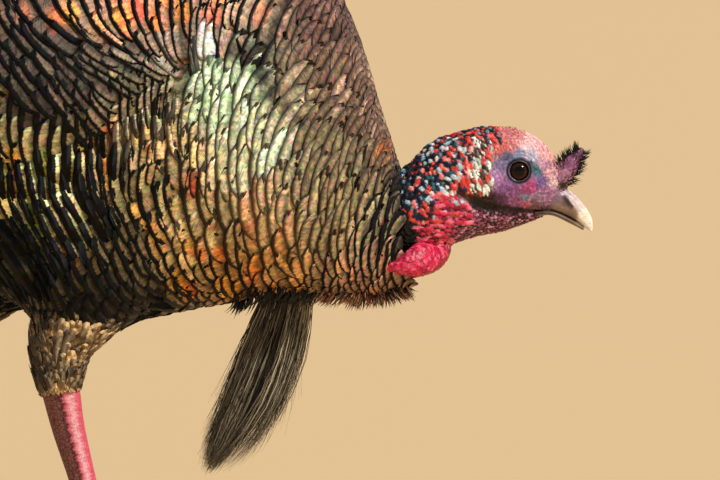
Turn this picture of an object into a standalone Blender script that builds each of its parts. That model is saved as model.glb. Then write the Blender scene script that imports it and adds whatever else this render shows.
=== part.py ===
"""Wild turkey tom, life size, walking with its head held low.

X runs forward to the bill, Y to the bird's left and Z up. The tables are in millimetres, with x = 0 at the
front of the hips, and at the end the bird is moved so that the origin is on the floor under the middle of
its length. Each piece is a closed solid that reaches out to the tips of the feathers, and neighbours are
parted by a thin clear gap.
"""

import math

import bmesh
import bpy
import numpy as np
from mathutils import Matrix, Vector

MM = 0.001
GAP = 0.35 * MM  # clear space between neighbouring pieces

# The feathered body, from the collar to the root of the tail. Each ring is named and gives, in millimetres:
# top x, top z, side x, side z, keel x, keel z, half width
BODY_RINGS = {
    "collar": (254, 297, 250, 256, 258, 214, 36),
    "throat": (240, 341, 226, 268, 238, 209, 55),
    "crop": (222, 398, 198, 290, 212, 208, 79),
    "shoulder": (194, 452, 152, 322, 172, 210, 108),
    "breast": (140, 484, 96, 340, 112, 200, 127),
    "midback": (66, 494, 36, 345, 54, 191, 133),
    "loin": (-20, 489, -36, 349, -18, 205, 130),
    "hip": (-108, 471, -108, 353, -90, 234, 112),
    "rump": (-190, 446, -182, 361, -164, 278, 84),
    "tail_root": (-262, 421, -256, 373, -246, 326, 58),
    "coverts": (-340, 391, -334, 366, -322, 343, 53),
    "covert_tips": (-418, 366, -408, 354, -394, 341, 56),
}
NECK_END = 2.6  # ring number where the feathered neck passes into the trunk
KEEL_PINCH = 0.10  # how much narrower the keel is than the back

# The bare neck and the head, from inside the collar to the root of the bill, in the same order.
HEAD_RINGS = {
    "in_collar": (238, 287, 234, 262, 238, 237, 24),
    "neck": (257, 301, 261, 268, 266, 237, 25.5),
    "nape": (276, 318, 282, 281, 288, 246, 25),
    "ear": (303, 327, 306, 288, 307, 252, 21),
    "crown": (320, 328, 321, 291, 319, 254, 18.6),
    "eye": (336, 326.5, 335, 293, 331, 257.5, 16.6),
    "lore": (352, 317.5, 350, 289, 346, 263, 13),
    "bill_root": (364, 302, 362, 284, 357, 268, 8.5),
    "bill_core": (369, 293, 367, 281, 363, 269, 5),
}
HEAD_START = 2.0  # ring number where the head passes into the bare neck

UPPER_BILL_RINGS = {
    "root": (361, 296, 355, 282, 350, 270.5, 9.2),
    "cere": (370, 289, 364, 278, 359, 268.7, 8.4),
    "nostril": (376, 282.5, 371, 274, 366.5, 266.2, 6.8),
    "blade": (382.5, 272, 379, 267, 375.5, 261.8, 4.6),
    "hook": (386.5, 263, 384.5, 260, 382.3, 257, 2.4),
    "tip": (386.8, 256.5, 386.4, 255.6, 385.8, 254.6, 0.7),
}
LOWER_BILL_RINGS = {
    "root": (346, 271, 346, 268.4, 345, 265.8, 8.4),
    "middle": (359, 270, 359, 268, 358, 266.2, 7.2),
    "blade": (371, 264.5, 371, 262.6, 370.5, 260.8, 4.8),
    "tip": (381, 258, 380.6, 257, 380.2, 255.8, 1.5),
}

EYE_RADIUS = 9.0 * MM
EYE_CENTRE = Vector((335, 9.6, 298)) * MM  # of the left eye
SNOOD_ROOT = Vector((361, 0, 289)) * MM
SNOOD_TIP = Vector((379, 0, 312)) * MM
SNOOD_RADII = [8.0, 7.4, 5.8, 4.0, 1.6]

# Limbs are paths of (x, y, z, radius) in millimetres. Y is the distance out from the midline.
WATTLE_PATH = [
    (243, 0, 233, 7), (252, 0, 234, 11), (263, 0, 235.5, 12.5), (274, 0, 240, 12), (281, 0, 249, 8.5),
]
WATTLE_WIDTH = 1.55  # its width over its depth
BEARD_PATH = [
    (176, 0, 222, 15), (171.5, 0, 209, 18.5), (163, 0, 180, 23), (154, 0, 152, 25.5),
    (142, 0, 127, 23.5), (131, 0, 108, 18), (122, 0, 94, 10), (118, 0, 88, 3),
]
BEARD_WIDTH = 0.42
LEADING_THIGH = [
    (52, 56, 266, 40), (43, 58, 242, 42), (30, 59, 210, 33), (17, 56, 181, 22.5), (15, 54, 160, 17.5),
    (16, 53, 146, 14),
]
LEADING_SHANK = [
    (15, 53, 152, 13.6), (17, 53, 143, 13.2), (21.4, 52, 121, 11.6), (30.6, 51, 87, 9.6), (40, 50, 52, 8.8),
    (47, 50, 28, 10), (51, 50, 14, 11),
]
TRAILING_THIGH = [
    (4, 54, 272, 40), (-14, 58, 250, 42), (-38, 58, 221, 31), (-62, 56, 194, 22), (-78, 54, 172, 17.5),
    (-83, 53, 157, 14),
]
TRAILING_SHANK = [
    (-82, 53, 162, 13.8), (-84, 53, 153, 13.2), (-80, 52, 131, 11.6), (-71, 51, 92, 9.6), (-62, 50, 54, 8.8),
    (-56, 50, 28, 10), (-53, 50, 14, 11),
]
SHANK_WIDTH = 0.8

# Each toe: its heading in degrees out from straight ahead, its length and its radius at the root.
TOES = {"inner": (-32, 52, 7.2), "middle": (2, 74, 7.8), "outer": (36, 54, 7.0), "hind": (172, 27, 5.6)}
FOOT_PAD_RADIUS = 12.5
CLAW_LENGTH = 17
CLAW_RADIUS = 3.6
SPUR_LENGTH = 21
SPUR_RADIUS = 5.5
SPUR_HEIGHT = 58  # above the floor

# The folded wing lies on the body: ring number, angle of its middle down from the back, half its span there
# (both in degrees) and its thickness in millimetres.
WING_STATIONS = [
    (3.95, 70, 6, 3), (4.2, 72, 19, 9), (4.7, 71, 29, 14), (5.5, 70, 36, 16), (6.4, 72, 41, 14),
    (7.2, 72, 38, 11), (7.9, 72, 33, 9), (8.5, 73, 26, 6.5), (8.85, 74, 15, 4.5), (9.05, 74, 6, 3),
]

# The folded tail: x and z of its middle, half width, half thickness and how far its sides droop.
TAIL_STATIONS = [
    (-375, 359, 44, 8, 8), (-400, 353.5, 55, 8, 12), (-440, 345, 62, 6, 15), (-490, 334.5, 67, 4.4, 17),
    (-540, 324, 71, 3.4, 18), (-580, 316, 72, 2.8, 18), (-600, 312, 70, 2.2, 17), (-605, 311, 67, 1.4, 16),
]
TAIL_ROUNDING = 34  # how far the outer feathers of the folded tail stop short of the middle ones

FEATHER_BRONZE = (0.16, 0.11, 0.07)
FEATHER_BUFF = (0.33, 0.22, 0.13)
SKIN_RED = (0.62, 0.06, 0.08)
SKIN_VIOLET = (0.42, 0.20, 0.42)
SHANK_PINK = (0.60, 0.22, 0.25)
HORN = (0.62, 0.52, 0.40)
BRISTLE_BLACK = (0.03, 0.028, 0.025)
EYE_BROWN = (0.05, 0.02, 0.012)


def clear_scene():
    for obj in list(bpy.data.objects):
        bpy.data.objects.remove(obj)


def new_collection(name):
    group = bpy.data.collections.new(name)
    bpy.context.scene.collection.children.link(group)
    return group


def material(name, colour, roughness, metallic=0.0):
    made = bpy.data.materials.new(name)
    made.use_nodes = True
    shader = made.node_tree.nodes["Principled BSDF"]
    shader.inputs["Base Color"].default_value = (*colour, 1.0)
    shader.inputs["Roughness"].default_value = roughness
    shader.inputs["Metallic"].default_value = metallic
    return made


def spline(rows, at):
    """Catmull-Rom through the rows of numbers, read at a fractional row number."""
    rows = np.asarray(rows, float)
    first = min(max(int(math.floor(at)), 0), len(rows) - 2)
    t = at - first
    p1, p2 = rows[first], rows[first + 1]
    p0 = rows[first - 1] if first > 0 else 2 * p1 - p2
    p3 = rows[first + 2] if first + 2 < len(rows) else 2 * p2 - p1
    bend = (2 * p0 - 5 * p1 + 4 * p2 - p3) * t**2 + (3 * p1 - p0 - 3 * p2 + p3) * t**3
    return 0.5 * (2 * p1 + (p2 - p0) * t + bend)


def ring_point(rings, at, angle, pinch=0.0):
    """A point of a body shape, at a ring number and an angle from the top over the left side to the keel."""
    top_x, top_z, side_x, side_z, keel_x, keel_z, half = spline(list(rings.values()), at)
    c = math.cos(angle)
    x = side_x + (top_x - keel_x) / 2 * c + ((top_x + keel_x) / 2 - side_x) * c * c
    z = side_z + (top_z - keel_z) / 2 * c + ((top_z + keel_z) / 2 - side_z) * c * c
    y = half * math.sin(angle) * (1 + pinch * c)
    return Vector((x, y, z)) * MM


def body_point(at, angle, lift=0.0):
    """A point at a height over the feathered body, in metres."""
    here = ring_point(BODY_RINGS, at, angle, KEEL_PINCH)
    ahead = ring_point(BODY_RINGS, at + 0.02, angle, KEEL_PINCH)
    beyond = ring_point(BODY_RINGS, at, angle + 0.02, KEEL_PINCH)
    return here + (ahead - here).cross(beyond - here).normalized() * lift


def add_mesh(name, made, look):
    """Turns a bmesh into a named object, with its faces pointing out."""
    bmesh.ops.recalc_face_normals(made, faces=made.faces)
    mesh = bpy.data.meshes.new(name)
    made.to_mesh(mesh)
    made.free()
    mesh.shade_smooth()
    obj = bpy.data.objects.new(name, mesh)
    obj.data.materials.append(look)
    TURKEY.objects.link(obj)
    return obj


def loft(name, rings, look):
    """A closed skin over rings of points, with a strip of faces across each end."""
    made = bmesh.new()
    corners = [[made.verts.new(point) for point in ring] for ring in rings]
    around = len(rings[0])
    for before, after in zip(corners, corners[1:]):
        for i in range(around):
            j = (i + 1) % around
            made.faces.new((before[i], before[j], after[j], after[i]))
    for ring in (corners[0], corners[-1]):
        for i in range(around // 2):
            made.faces.new(dict.fromkeys((ring[i], ring[i + 1], ring[-i - 1], ring[-i])))
    return add_mesh(name, made, look)


def ring_loft(name, rings, first, last, steps, around, look, pinch=0.0):
    """A piece of a body shape between two ring numbers. No last ring number means all the rest of it."""
    turns = [math.tau * i / around for i in range(around)]
    places = np.linspace(first, len(rings) - 1 if last is None else last, steps)
    return loft(name, [[ring_point(rings, at, turn, pinch) for turn in turns] for at in places], look)


def limb(name, path, around, steps, look, width=1.0, side=1):
    """A tapering limb round a smooth path of (x, y, z, radius), width being its width over its depth."""
    places = [spline(path, at) * MM for at in np.linspace(0, len(path) - 1, steps)]
    points = [Vector((p[0], p[1] * side, p[2])) for p in places]
    rings = []
    for i, point in enumerate(points):
        ahead = (points[min(i + 1, steps - 1)] - points[max(i - 1, 0)]).normalized()
        across = Vector((0, 1, 0))
        across = (across - ahead * across.dot(ahead)).normalized()
        deep = ahead.cross(across)
        radius = places[i][3]
        turns = [math.tau * k / around for k in range(around)]
        rings.append([point + (across * math.cos(t) * width + deep * math.sin(t)) * radius for t in turns])
    return loft(name, rings, look)


def cut(piece, other, operation="DIFFERENCE"):
    """Cuts a piece back from its neighbour, leaving the gap, or joins the neighbour to it."""
    helper = other.copy()
    helper.data = other.data.copy()
    helper.name = f"cutter_{piece.name}_{other.name}"
    helper.hide_render = True
    helper.display_type = "WIRE"
    CUTTERS.objects.link(helper)
    if operation == "DIFFERENCE":
        grow = helper.modifiers.new("clearance", "DISPLACE")
        grow.strength = GAP
        grow.mid_level = 0.0
    boolean = piece.modifiers.new(f"{operation.lower()}_{other.name}", "BOOLEAN")
    boolean.operation = operation
    boolean.object = helper
    boolean.solver = "EXACT"
    bake_modifiers(piece)
    bpy.data.objects.remove(helper)
    keep_largest(piece)


def keep_largest(piece):
    """Drops the loose slivers that a cut leaves, and keeps the body with the most faces."""
    made = bmesh.new()
    made.from_mesh(piece.data)
    unseen, bodies = set(made.verts), []
    while unseen:
        body_verts, edge_of_search = set(), [unseen.pop()]
        while edge_of_search:
            vertex = edge_of_search.pop()
            body_verts.add(vertex)
            near = {e.other_vert(vertex) for e in vertex.link_edges} & unseen
            unseen -= near
            edge_of_search.extend(near)
        bodies.append(body_verts)
    largest = max(bodies, key=lambda verts: sum(len(v.link_faces) for v in verts))
    bmesh.ops.delete(made, geom=[v for v in made.verts if v not in largest], context="VERTS")
    made.to_mesh(piece.data)
    made.free()


def bake_modifiers(piece):
    """Replaces a piece's mesh by its evaluated one, so that later cuts start from it."""
    bpy.context.view_layer.update()
    graph = bpy.context.evaluated_depsgraph_get()
    mesh = bpy.data.meshes.new_from_object(piece.evaluated_get(graph), depsgraph=graph)
    piece.modifiers.clear()
    piece.data = mesh


def cut_flat(piece, point, normal):
    """Cuts off all that lies beyond a plane, and closes the cut with a flat face."""
    made = bmesh.new()
    made.from_mesh(piece.data)
    everything = made.verts[:] + made.edges[:] + made.faces[:]
    cut_edges = bmesh.ops.bisect_plane(
        made, geom=everything, dist=1e-6, plane_co=point, plane_no=normal, clear_outer=True
    )["geom_cut"]
    rim = [e for e in cut_edges if isinstance(e, bmesh.types.BMEdge)]
    bmesh.ops.holes_fill(made, edges=rim, sides=0)
    bmesh.ops.recalc_face_normals(made, faces=made.faces)
    made.to_mesh(piece.data)
    made.free()


def build_body(looks):
    """The feathered neck and the trunk, which meet at one curved ring."""
    part = (NECK_END, NECK_END + 0.02)
    neck = ring_loft("neck", BODY_RINGS, 0, part[0], 10, 24, looks["plumage"], KEEL_PINCH)
    trunk = ring_loft("trunk", BODY_RINGS, part[1], None, 24, 26, looks["plumage"], KEEL_PINCH)
    return neck, trunk


def build_head(looks, neck):
    """The head, the bare neck and what sits on them: bill, eyes, snood and wattle."""
    part = (HEAD_START, HEAD_START - 0.03)
    head = ring_loft("head", HEAD_RINGS, part[0], None, 16, 16, looks["face"])
    bare = ring_loft("bare_neck", HEAD_RINGS, 0, part[1], 7, 16, looks["wattle"])
    upper = ring_loft("bill_upper", UPPER_BILL_RINGS, 0, None, 10, 12, looks["horn"])
    lower = ring_loft("bill_lower", LOWER_BILL_RINGS, 0, None, 7, 10, looks["horn"])
    snood_path = [
        (*(SNOOD_ROOT.lerp(SNOOD_TIP, i / (len(SNOOD_RADII) - 1)) / MM), radius)
        for i, radius in enumerate(SNOOD_RADII)
    ]
    snood = limb("snood", snood_path, 10, 8, looks["face"])
    wattle = limb("wattle", WATTLE_PATH, 16, 11, looks["wattle"], WATTLE_WIDTH)
    eyes = [build_eye(side, looks) for side in ("right", "left")]
    cut(upper, head)
    cut(lower, head)
    cut(lower, upper)
    cut(snood, head)
    cut(snood, upper)
    for eye in eyes:
        cut(head, eye)
    cut(bare, neck)
    for other in (neck, head, bare):
        cut(wattle, other)


def build_eye(side, looks):
    made = bmesh.new()
    centre = EYE_CENTRE * 1.0
    centre.y *= 1 if side == "left" else -1
    bmesh.ops.create_uvsphere(made, u_segments=14, v_segments=8, radius=EYE_RADIUS)
    turn = Matrix.Rotation(math.radians(90), 4, "X")
    bmesh.ops.transform(made, matrix=Matrix.Translation(centre) @ turn, verts=made.verts)
    return add_mesh(f"eye_{side}", made, looks["eye"])


def build_beard(looks, neck, trunk):
    beard = limb("beard", BEARD_PATH, 12, 13, looks["beard"], BEARD_WIDTH)
    cut(beard, neck)
    cut(beard, trunk)


def build_wing(side, looks, trunk):
    """A folded wing: a thin lens that follows the body, cut back to the trunk's surface."""
    sign = 1 if side == "left" else -1
    around, steps = 16, 15
    rings = []
    for place in np.linspace(0, len(WING_STATIONS) - 1, steps):
        at, middle, span, thick = spline(WING_STATIONS, place)
        ring = []
        for i in range(around):
            turn = math.tau * i / around
            angle = math.radians(middle + span * math.cos(turn))
            point = body_point(min(at, 9.3), angle, thick * MM * (0.35 + math.sin(turn)) / 1.35)
            ring.append(Vector((point.x, point.y * sign, point.z)))
        rings.append(ring)
    cut(loft(f"wing_{side}", rings, looks["wing"]), trunk)


def build_tail(looks, trunk):
    around = 18
    rings = []
    last = len(TAIL_STATIONS) - 1
    for place in np.linspace(0, last, 12):
        x, z, half, thick, droop = spline(TAIL_STATIONS, place)
        ring = []
        for i in range(around):
            turn = math.tau * i / around
            across = math.cos(turn)
            back = TAIL_ROUNDING * across**2 * (place / last) ** 3
            height = thick * math.sin(turn) - droop * across**2
            ring.append(Vector((x + back, half * across, z + height)) * MM)
        rings.append(ring)
    tail = loft("tail", rings, looks["tail"])
    cut(tail, trunk)


def build_leg(side, thigh_path, shank_path, looks, trunk):
    """Thigh, shank, foot, claws and spur of one leg."""
    sign = 1 if side == "left" else -1
    thigh = limb(f"thigh_{side}", thigh_path, 16, 10, looks["thigh"], 0.9, sign)
    shank = limb(f"shank_{side}", shank_path, 12, 11, looks["shank"], SHANK_WIDTH, sign)
    ankle_x, ankle_y, ankle_z, _ = shank_path[-1]
    ankle = Vector((ankle_x, ankle_y * sign, 0)) * MM
    toes, claws = [], []
    for name, (heading, length, radius) in TOES.items():
        turn = math.radians(heading) * sign
        ahead = Vector((math.cos(turn), math.sin(turn), 0))
        claws.append(build_claw(f"claw_{name}_{side}", ankle, ahead, length, looks))
        toes.append(build_toe(f"toe_{name}_{side}", ankle, ahead, length, radius, looks))
    foot = build_pad(f"foot_{side}", ankle, ankle_z, looks)
    for toe in toes:
        cut(foot, toe, "UNION")
        bpy.data.objects.remove(toe)
    cut_flat(foot, Vector((0, 0, 0)), Vector((0, 0, -1)))
    for claw in claws:
        cut_flat(claw, Vector((0, 0, 0)), Vector((0, 0, -1)))
        cut(claw, foot)
    cut(thigh, trunk)
    cut(shank, thigh)
    cut(shank, foot)
    spur = build_spur(f"spur_{side}", shank_path, sign, looks)
    cut(spur, shank)


def build_pad(name, ankle, height, looks):
    """The ball of the foot, under the end of the shank."""
    made = bmesh.new()
    bmesh.ops.create_uvsphere(made, u_segments=12, v_segments=6, radius=FOOT_PAD_RADIUS * MM)
    for vertex in made.verts:
        vertex.co.z *= 0.75
    bmesh.ops.translate(made, vec=ankle + Vector((0, 0, 0.45 * height * MM)), verts=made.verts)
    return add_mesh(name, made, looks["shank"])


def build_toe(name, ankle, ahead, length, radius, looks):
    """A toe with three swollen joints, thinning towards its claw and sunk a little for a flat sole."""
    path = []
    steps = 7
    for i in range(steps):
        share = i / (steps - 1)
        size = radius * (1 - 0.42 * share) * (1 + 0.07 * math.cos(share * 3 * math.tau))
        place = ankle / MM + ahead * (length * share)
        path.append((place.x, place.y, size * 0.86, size))
    end = path[-1]
    tip = ankle / MM + ahead * (length + 3)
    path.append((tip.x, tip.y, end[2] * 0.9, end[3] * 0.55))
    return heading_limb(name, path, ahead, 8, looks["shank"])


def build_claw(name, ankle, ahead, length, looks):
    """A blunt claw, curving down from the end of its toe to the floor."""
    path = []
    for i in range(5):
        share = i / 4
        place = ankle / MM + ahead * (length - 2 + CLAW_LENGTH * share)
        size = CLAW_RADIUS * (1 - 0.72 * share)
        path.append((place.x, place.y, 4.6 - 3.6 * share**1.5, size))
    return heading_limb(name, path, ahead, 6, looks["claw"])


def heading_limb(name, path, ahead, around, look):
    """A level limb that runs straight ahead, with upright round sections."""
    across = Vector((-ahead.y, ahead.x, 0))
    up = Vector((0, 0, 1))
    turns = [math.tau * (k + 0.5) / around for k in range(around)]
    rings = []
    for x, y, z, radius in path:
        centre = Vector((x, y, z))
        rings.append([(centre + (across * math.cos(t) + up * math.sin(t)) * radius) * MM for t in turns])
    return loft(name, rings, look)


def build_spur(name, shank_path, sign, looks):
    """The spur grows back and inwards from the rear of the shank."""
    heights = [p[2] for p in shank_path]
    at = np.interp(-SPUR_HEIGHT, [-h for h in heights], range(len(heights)))
    x, y, z, radius = spline(shank_path, at)
    path = []
    for i in range(6):
        share = i / 5
        back = radius * 0.5 + SPUR_LENGTH * share
        path.append((x - back, y - 4 * share, z - 2 + 5 * share * share, SPUR_RADIUS * (1 - 0.85 * share)))
    return limb(name, path, 8, 6, looks["claw"], 1.0, sign)


def centre_on_floor():
    """Moves the whole bird along X, so that the origin is under the middle of its length."""
    ends = [vertex.co.x for piece in TURKEY.objects for vertex in piece.data.vertices]
    shift = Matrix.Translation((-(min(ends) + max(ends)) / 2, 0, 0))
    for piece in TURKEY.objects:
        piece.data.transform(shift)


def split_into_triangles():
    """Splits every face, because a bent four-sided face has no one true surface."""
    for piece in TURKEY.objects:
        made = bmesh.new()
        made.from_mesh(piece.data)
        bmesh.ops.triangulate(made, faces=made.faces, quad_method="SHORT_EDGE")
        made.to_mesh(piece.data)
        made.free()


clear_scene()
TURKEY = new_collection("wild_turkey")
CUTTERS = new_collection("cutters")
LOOKS = {
    "plumage": material("plumage", FEATHER_BRONZE, 0.4, 0.3),
    "wing": material("wing_feathers", FEATHER_BRONZE, 0.45, 0.2),
    "tail": material("tail_feathers", FEATHER_BUFF, 0.5),
    "thigh": material("thigh_feathers", FEATHER_BUFF, 0.7),
    "face": material("bare_face_skin", SKIN_VIOLET, 0.45),
    "wattle": material("red_caruncled_skin", SKIN_RED, 0.4),
    "shank": material("scaled_shank_skin", SHANK_PINK, 0.4),
    "horn": material("bill_horn", HORN, 0.35),
    "claw": material("claw_horn", HORN, 0.4),
    "beard": material("beard_bristle", BRISTLE_BLACK, 0.5),
    "eye": material("eye", EYE_BROWN, 0.05),
}
feathered_neck, body = build_body(LOOKS)
build_head(LOOKS, feathered_neck)
build_beard(LOOKS, feathered_neck, body)
for folded in ("right", "left"):
    build_wing(folded, LOOKS, body)
build_tail(LOOKS, body)
build_leg("right", LEADING_THIGH, LEADING_SHANK, LOOKS, body)
build_leg("left", TRAILING_THIGH, TRAILING_SHANK, LOOKS, body)
centre_on_floor()
split_into_triangles()
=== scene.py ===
"""A wild turkey tom as a life-size museum model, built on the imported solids.

One skin replaces the solids of flesh. Over it lie the feathers, each a thin closed vane whose tip ends on a
row, as the real ones do: a row is a line across the lie of the plumage, and the rows fan out round the
shoulder. Lengths in the tables are in millimetres, in the bird's own frame, with x = 0 at the front of the
hips. Meshes are in metres, in the frame of the solids.
"""

import functools
import math

import bpy
import numpy as np
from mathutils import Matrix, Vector, noise
from mathutils.kdtree import KDTree


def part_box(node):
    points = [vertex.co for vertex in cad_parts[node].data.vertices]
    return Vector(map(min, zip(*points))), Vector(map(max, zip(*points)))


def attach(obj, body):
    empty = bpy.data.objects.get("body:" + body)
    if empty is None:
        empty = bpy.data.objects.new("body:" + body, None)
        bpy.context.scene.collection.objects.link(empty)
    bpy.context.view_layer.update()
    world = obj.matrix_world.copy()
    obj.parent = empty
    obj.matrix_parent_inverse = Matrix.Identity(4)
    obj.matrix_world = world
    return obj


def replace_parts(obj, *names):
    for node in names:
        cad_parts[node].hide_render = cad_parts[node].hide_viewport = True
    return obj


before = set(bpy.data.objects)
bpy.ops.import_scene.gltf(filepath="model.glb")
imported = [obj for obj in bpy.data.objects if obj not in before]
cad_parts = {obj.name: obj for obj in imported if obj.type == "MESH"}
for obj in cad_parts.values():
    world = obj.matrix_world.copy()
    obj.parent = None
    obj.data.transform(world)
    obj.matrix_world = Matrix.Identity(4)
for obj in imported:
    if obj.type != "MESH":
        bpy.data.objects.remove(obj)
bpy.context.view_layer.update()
rng = np.random.default_rng(11)

MM = 0.001
RIGHT, LEFT = -1, 1
SIDES = {RIGHT: "right", LEFT: "left"}

# The same rings as the feathered body of the solids, each with: top x, top z, side x, side z, keel x,
# keel z, half width. The ring number is called the station, and grows from the head to the tail.
BODY_RINGS = {
    "collar": (254, 297, 250, 256, 258, 214, 36),
    "throat": (240, 341, 226, 268, 238, 209, 55),
    "crop": (222, 398, 198, 290, 212, 208, 79),
    "shoulder": (194, 452, 152, 322, 172, 210, 108),
    "breast": (140, 484, 96, 340, 112, 200, 127),
    "midback": (66, 494, 36, 345, 54, 191, 133),
    "loin": (-20, 489, -36, 349, -18, 205, 130),
    "hip": (-108, 471, -108, 353, -90, 234, 112),
    "rump": (-190, 446, -182, 361, -164, 278, 84),
    "tail_root": (-262, 421, -256, 373, -246, 326, 58),
    "coverts": (-340, 391, -334, 366, -322, 343, 53),
    "covert_tips": (-418, 366, -408, 354, -394, 341, 56),
}
KEEL_PINCH = 0.10
HEAD_RINGS = {
    "in_collar": (238, 287, 234, 262, 238, 237, 24),
    "neck": (257, 301, 261, 268, 266, 237, 25.5),
    "nape": (276, 318, 282, 281, 288, 246, 25),
    "ear": (303, 327, 306, 288, 307, 252, 21),
    "crown": (320, 328, 321, 291, 319, 254, 18.6),
    "eye": (336, 326.5, 335, 293, 331, 257.5, 16.6),
    "lore": (352, 317.5, 350, 289, 346, 263, 13),
    "bill_root": (364, 302, 362, 284, 357, 268, 8.5),
    "bill_core": (369, 293, 367, 281, 363, 269, 5),
}
# The folded wing on the body: station, angle of its middle, half its span (degrees) and its bulge (mm).
WING_STATIONS = np.array([
    (3.95, 70, 6, 3), (4.2, 72, 19, 9), (4.7, 71, 29, 14), (5.5, 70, 36, 16), (6.4, 72, 41, 14),
    (7.2, 72, 38, 11), (7.9, 72, 33, 9), (8.5, 73, 26, 6.5), (8.85, 74, 15, 4.5), (9.05, 74, 6, 3),
], float)
# Limbs, snood, wattle and beard are tubes along points of x, y, z and radius.
LEGS = {
    RIGHT: {
        "thigh": [(52, 56, 266, 40), (43, 58, 242, 42), (30, 59, 210, 33), (17, 56, 181, 22.5),
                  (15, 54, 160, 17.5), (16, 53, 146, 14)],
        "shank": [(15, 53, 152, 13.6), (17, 53, 143, 13.2), (21.4, 52, 121, 11.6), (30.6, 51, 87, 9.6),
                  (40, 50, 52, 8.8), (47, 50, 28, 10), (51, 50, 14, 11)],
    },
    LEFT: {
        "thigh": [(4, 54, 272, 40), (-14, 58, 250, 42), (-38, 58, 221, 31), (-62, 56, 194, 22),
                  (-78, 54, 172, 17.5), (-83, 53, 157, 14)],
        "shank": [(-82, 53, 162, 13.8), (-84, 53, 153, 13.2), (-80, 52, 131, 11.6), (-71, 51, 92, 9.6),
                  (-62, 50, 54, 8.8), (-56, 50, 28, 10), (-53, 50, 14, 11)],
    },
}
# Each toe: heading from straight ahead, outwards (degrees), length and radius.
TOES = {"inner": (-32, 52, 7.2), "middle": (2, 74, 7.8), "outer": (36, 54, 7.0), "hind": (172, 27, 5.6)}
CLAW_LENGTH, CLAW_RADIUS = 17, 3.6
SPUR_LENGTH, SPUR_RADIUS, SPUR_HEIGHT = 21, 5.5, 58
SNOOD = [
    (361, 0, 289, 8.4), (365.5, 0, 294.8, 7.9), (370, 0, 300.5, 6.6), (374.5, 0, 306.3, 4.6),
    (379, 0, 312, 2.2),
]
WATTLE = [(243, 0, 233, 7), (252, 0, 234, 11), (263, 0, 235.5, 12.5), (274, 0, 240, 12), (281, 0, 249, 8.5)]
# The wattle's fold that hangs over the collar's feathers on each side.
LOBE = [
    (242.5, 30, 231.6, 2), (248, 32, 231.8, 4.2), (255, 31, 232.8, 7.2), (262, 27, 235, 10),
    (269, 20, 238, 11.5), (275, 9, 243, 8),
]
BEARD = np.array([
    (176, 0, 222, 15), (171.5, 0, 209, 18.5), (163, 0, 180, 23), (154, 0, 152, 25.5), (142, 0, 127, 23.5),
    (131, 0, 108, 18), (122, 0, 94, 10), (118, 0, 88, 3),
], float)
EYE_CENTRE = np.array([335, 9.6, 298])
EYE_RADIUS = 9.0
PATCH = 0.003  # the side of one feather's or bristle's patch on the map for baking

# the eye's place along the body gives the bird's frame
eye_low, eye_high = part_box("eye_right")
SHIFT = (eye_low.x + eye_high.x) / 2 - EYE_CENTRE[0] * MM


# ---------------------------------------------------------------- shapes

def unit(vectors):
    return vectors / np.linalg.norm(vectors, axis=-1, keepdims=True)


def spline(rows, at):
    """Catmull-Rom through the rows of numbers, read at many fractional row numbers."""
    rows = np.asarray(rows, float)
    at = np.asarray(at, float)
    first = np.clip(np.floor(at).astype(int), 0, len(rows) - 2)
    t = (at - first)[..., None]
    p1, p2 = rows[first], rows[first + 1]
    p0 = np.where((first > 0)[..., None], rows[np.maximum(first - 1, 0)], 2 * p1 - p2)
    p3 = np.where((first + 2 < len(rows))[..., None], rows[np.minimum(first + 2, len(rows) - 1)], 2 * p2 - p1)
    bend = (2 * p0 - 5 * p1 + 4 * p2 - p3) * t**2 + (3 * p1 - p0 - 3 * p2 + p3) * t**3
    return 0.5 * (2 * p1 + (p2 - p0) * t + bend)


def net(stations, angles):
    return np.meshgrid(stations, angles, indexing="ij")


def ring_points(rings, station, angle, pinch=0.0):
    """Points of a body shape in mm. The angle, in radians, is 0 at the top and positive to the left."""
    found = np.moveaxis(spline(list(rings.values()), station), -1, 0)
    top_x, top_z, side_x, side_z, keel_x, keel_z, half = found
    c = np.cos(angle)
    x = side_x + (top_x - keel_x) / 2 * c + ((top_x + keel_x) / 2 - side_x) * c * c
    z = side_z + (top_z - keel_z) / 2 * c + ((top_z + keel_z) / 2 - side_z) * c * c
    y = half * np.sin(angle) * (1 + pinch * c)
    return np.stack([x, y, z], -1)


def bare_body(station, angle):
    return ring_points(BODY_RINGS, station, angle, KEEL_PINCH)


def head(station, angle):
    return ring_points(HEAD_RINGS, station, angle)


def directions(point, station, angle):
    """How a surface runs along the station and along the angle, and its outward normal."""
    e = 1e-3
    along = (point(station + e, angle) - point(station - e, angle)) / (2 * e)
    around = (point(station, angle + e) - point(station, angle - e)) / (2 * e)
    return along, around, unit(np.cross(around, along))


def wing_bulge(station, angle):
    """How far the folded wing stands off the body, in mm."""
    middle, span, thick = (np.interp(station, WING_STATIONS[:, 0], WING_STATIONS[:, k]) for k in (1, 2, 3))
    inside = (station > WING_STATIONS[0, 0]) & (station < WING_STATIONS[-1, 0])
    across = (np.degrees(np.abs(angle)) - middle) / span
    return np.where(inside & (np.abs(across) < 1), thick * np.maximum(0, 1 - across**2) ** 0.6, 0)


def body(station, angle):
    """The outline of the body with the folded wings on it, in mm."""
    normal = directions(bare_body, station, angle)[2]
    return bare_body(station, angle) + normal * wing_bulge(station, angle)[..., None]


def to_frame(points):
    """From mm in the bird's own frame to metres in the frame of the solids."""
    return points * MM + np.array([SHIFT, 0, 0])


# ---------------------------------------------------------------- meshes

def fill(items, key, values, kind=np.float32):
    items.foreach_set(key, values.astype(kind).reshape(-1))


def read(items, key, width, kind=np.float32):
    values = np.empty(len(items) * width, kind)
    items.foreach_get(key, values)
    return values.reshape(-1, width)


def add_object(name, data):
    made = bpy.data.objects.new(name, data)
    bpy.context.scene.collection.objects.link(made)
    return made


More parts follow.
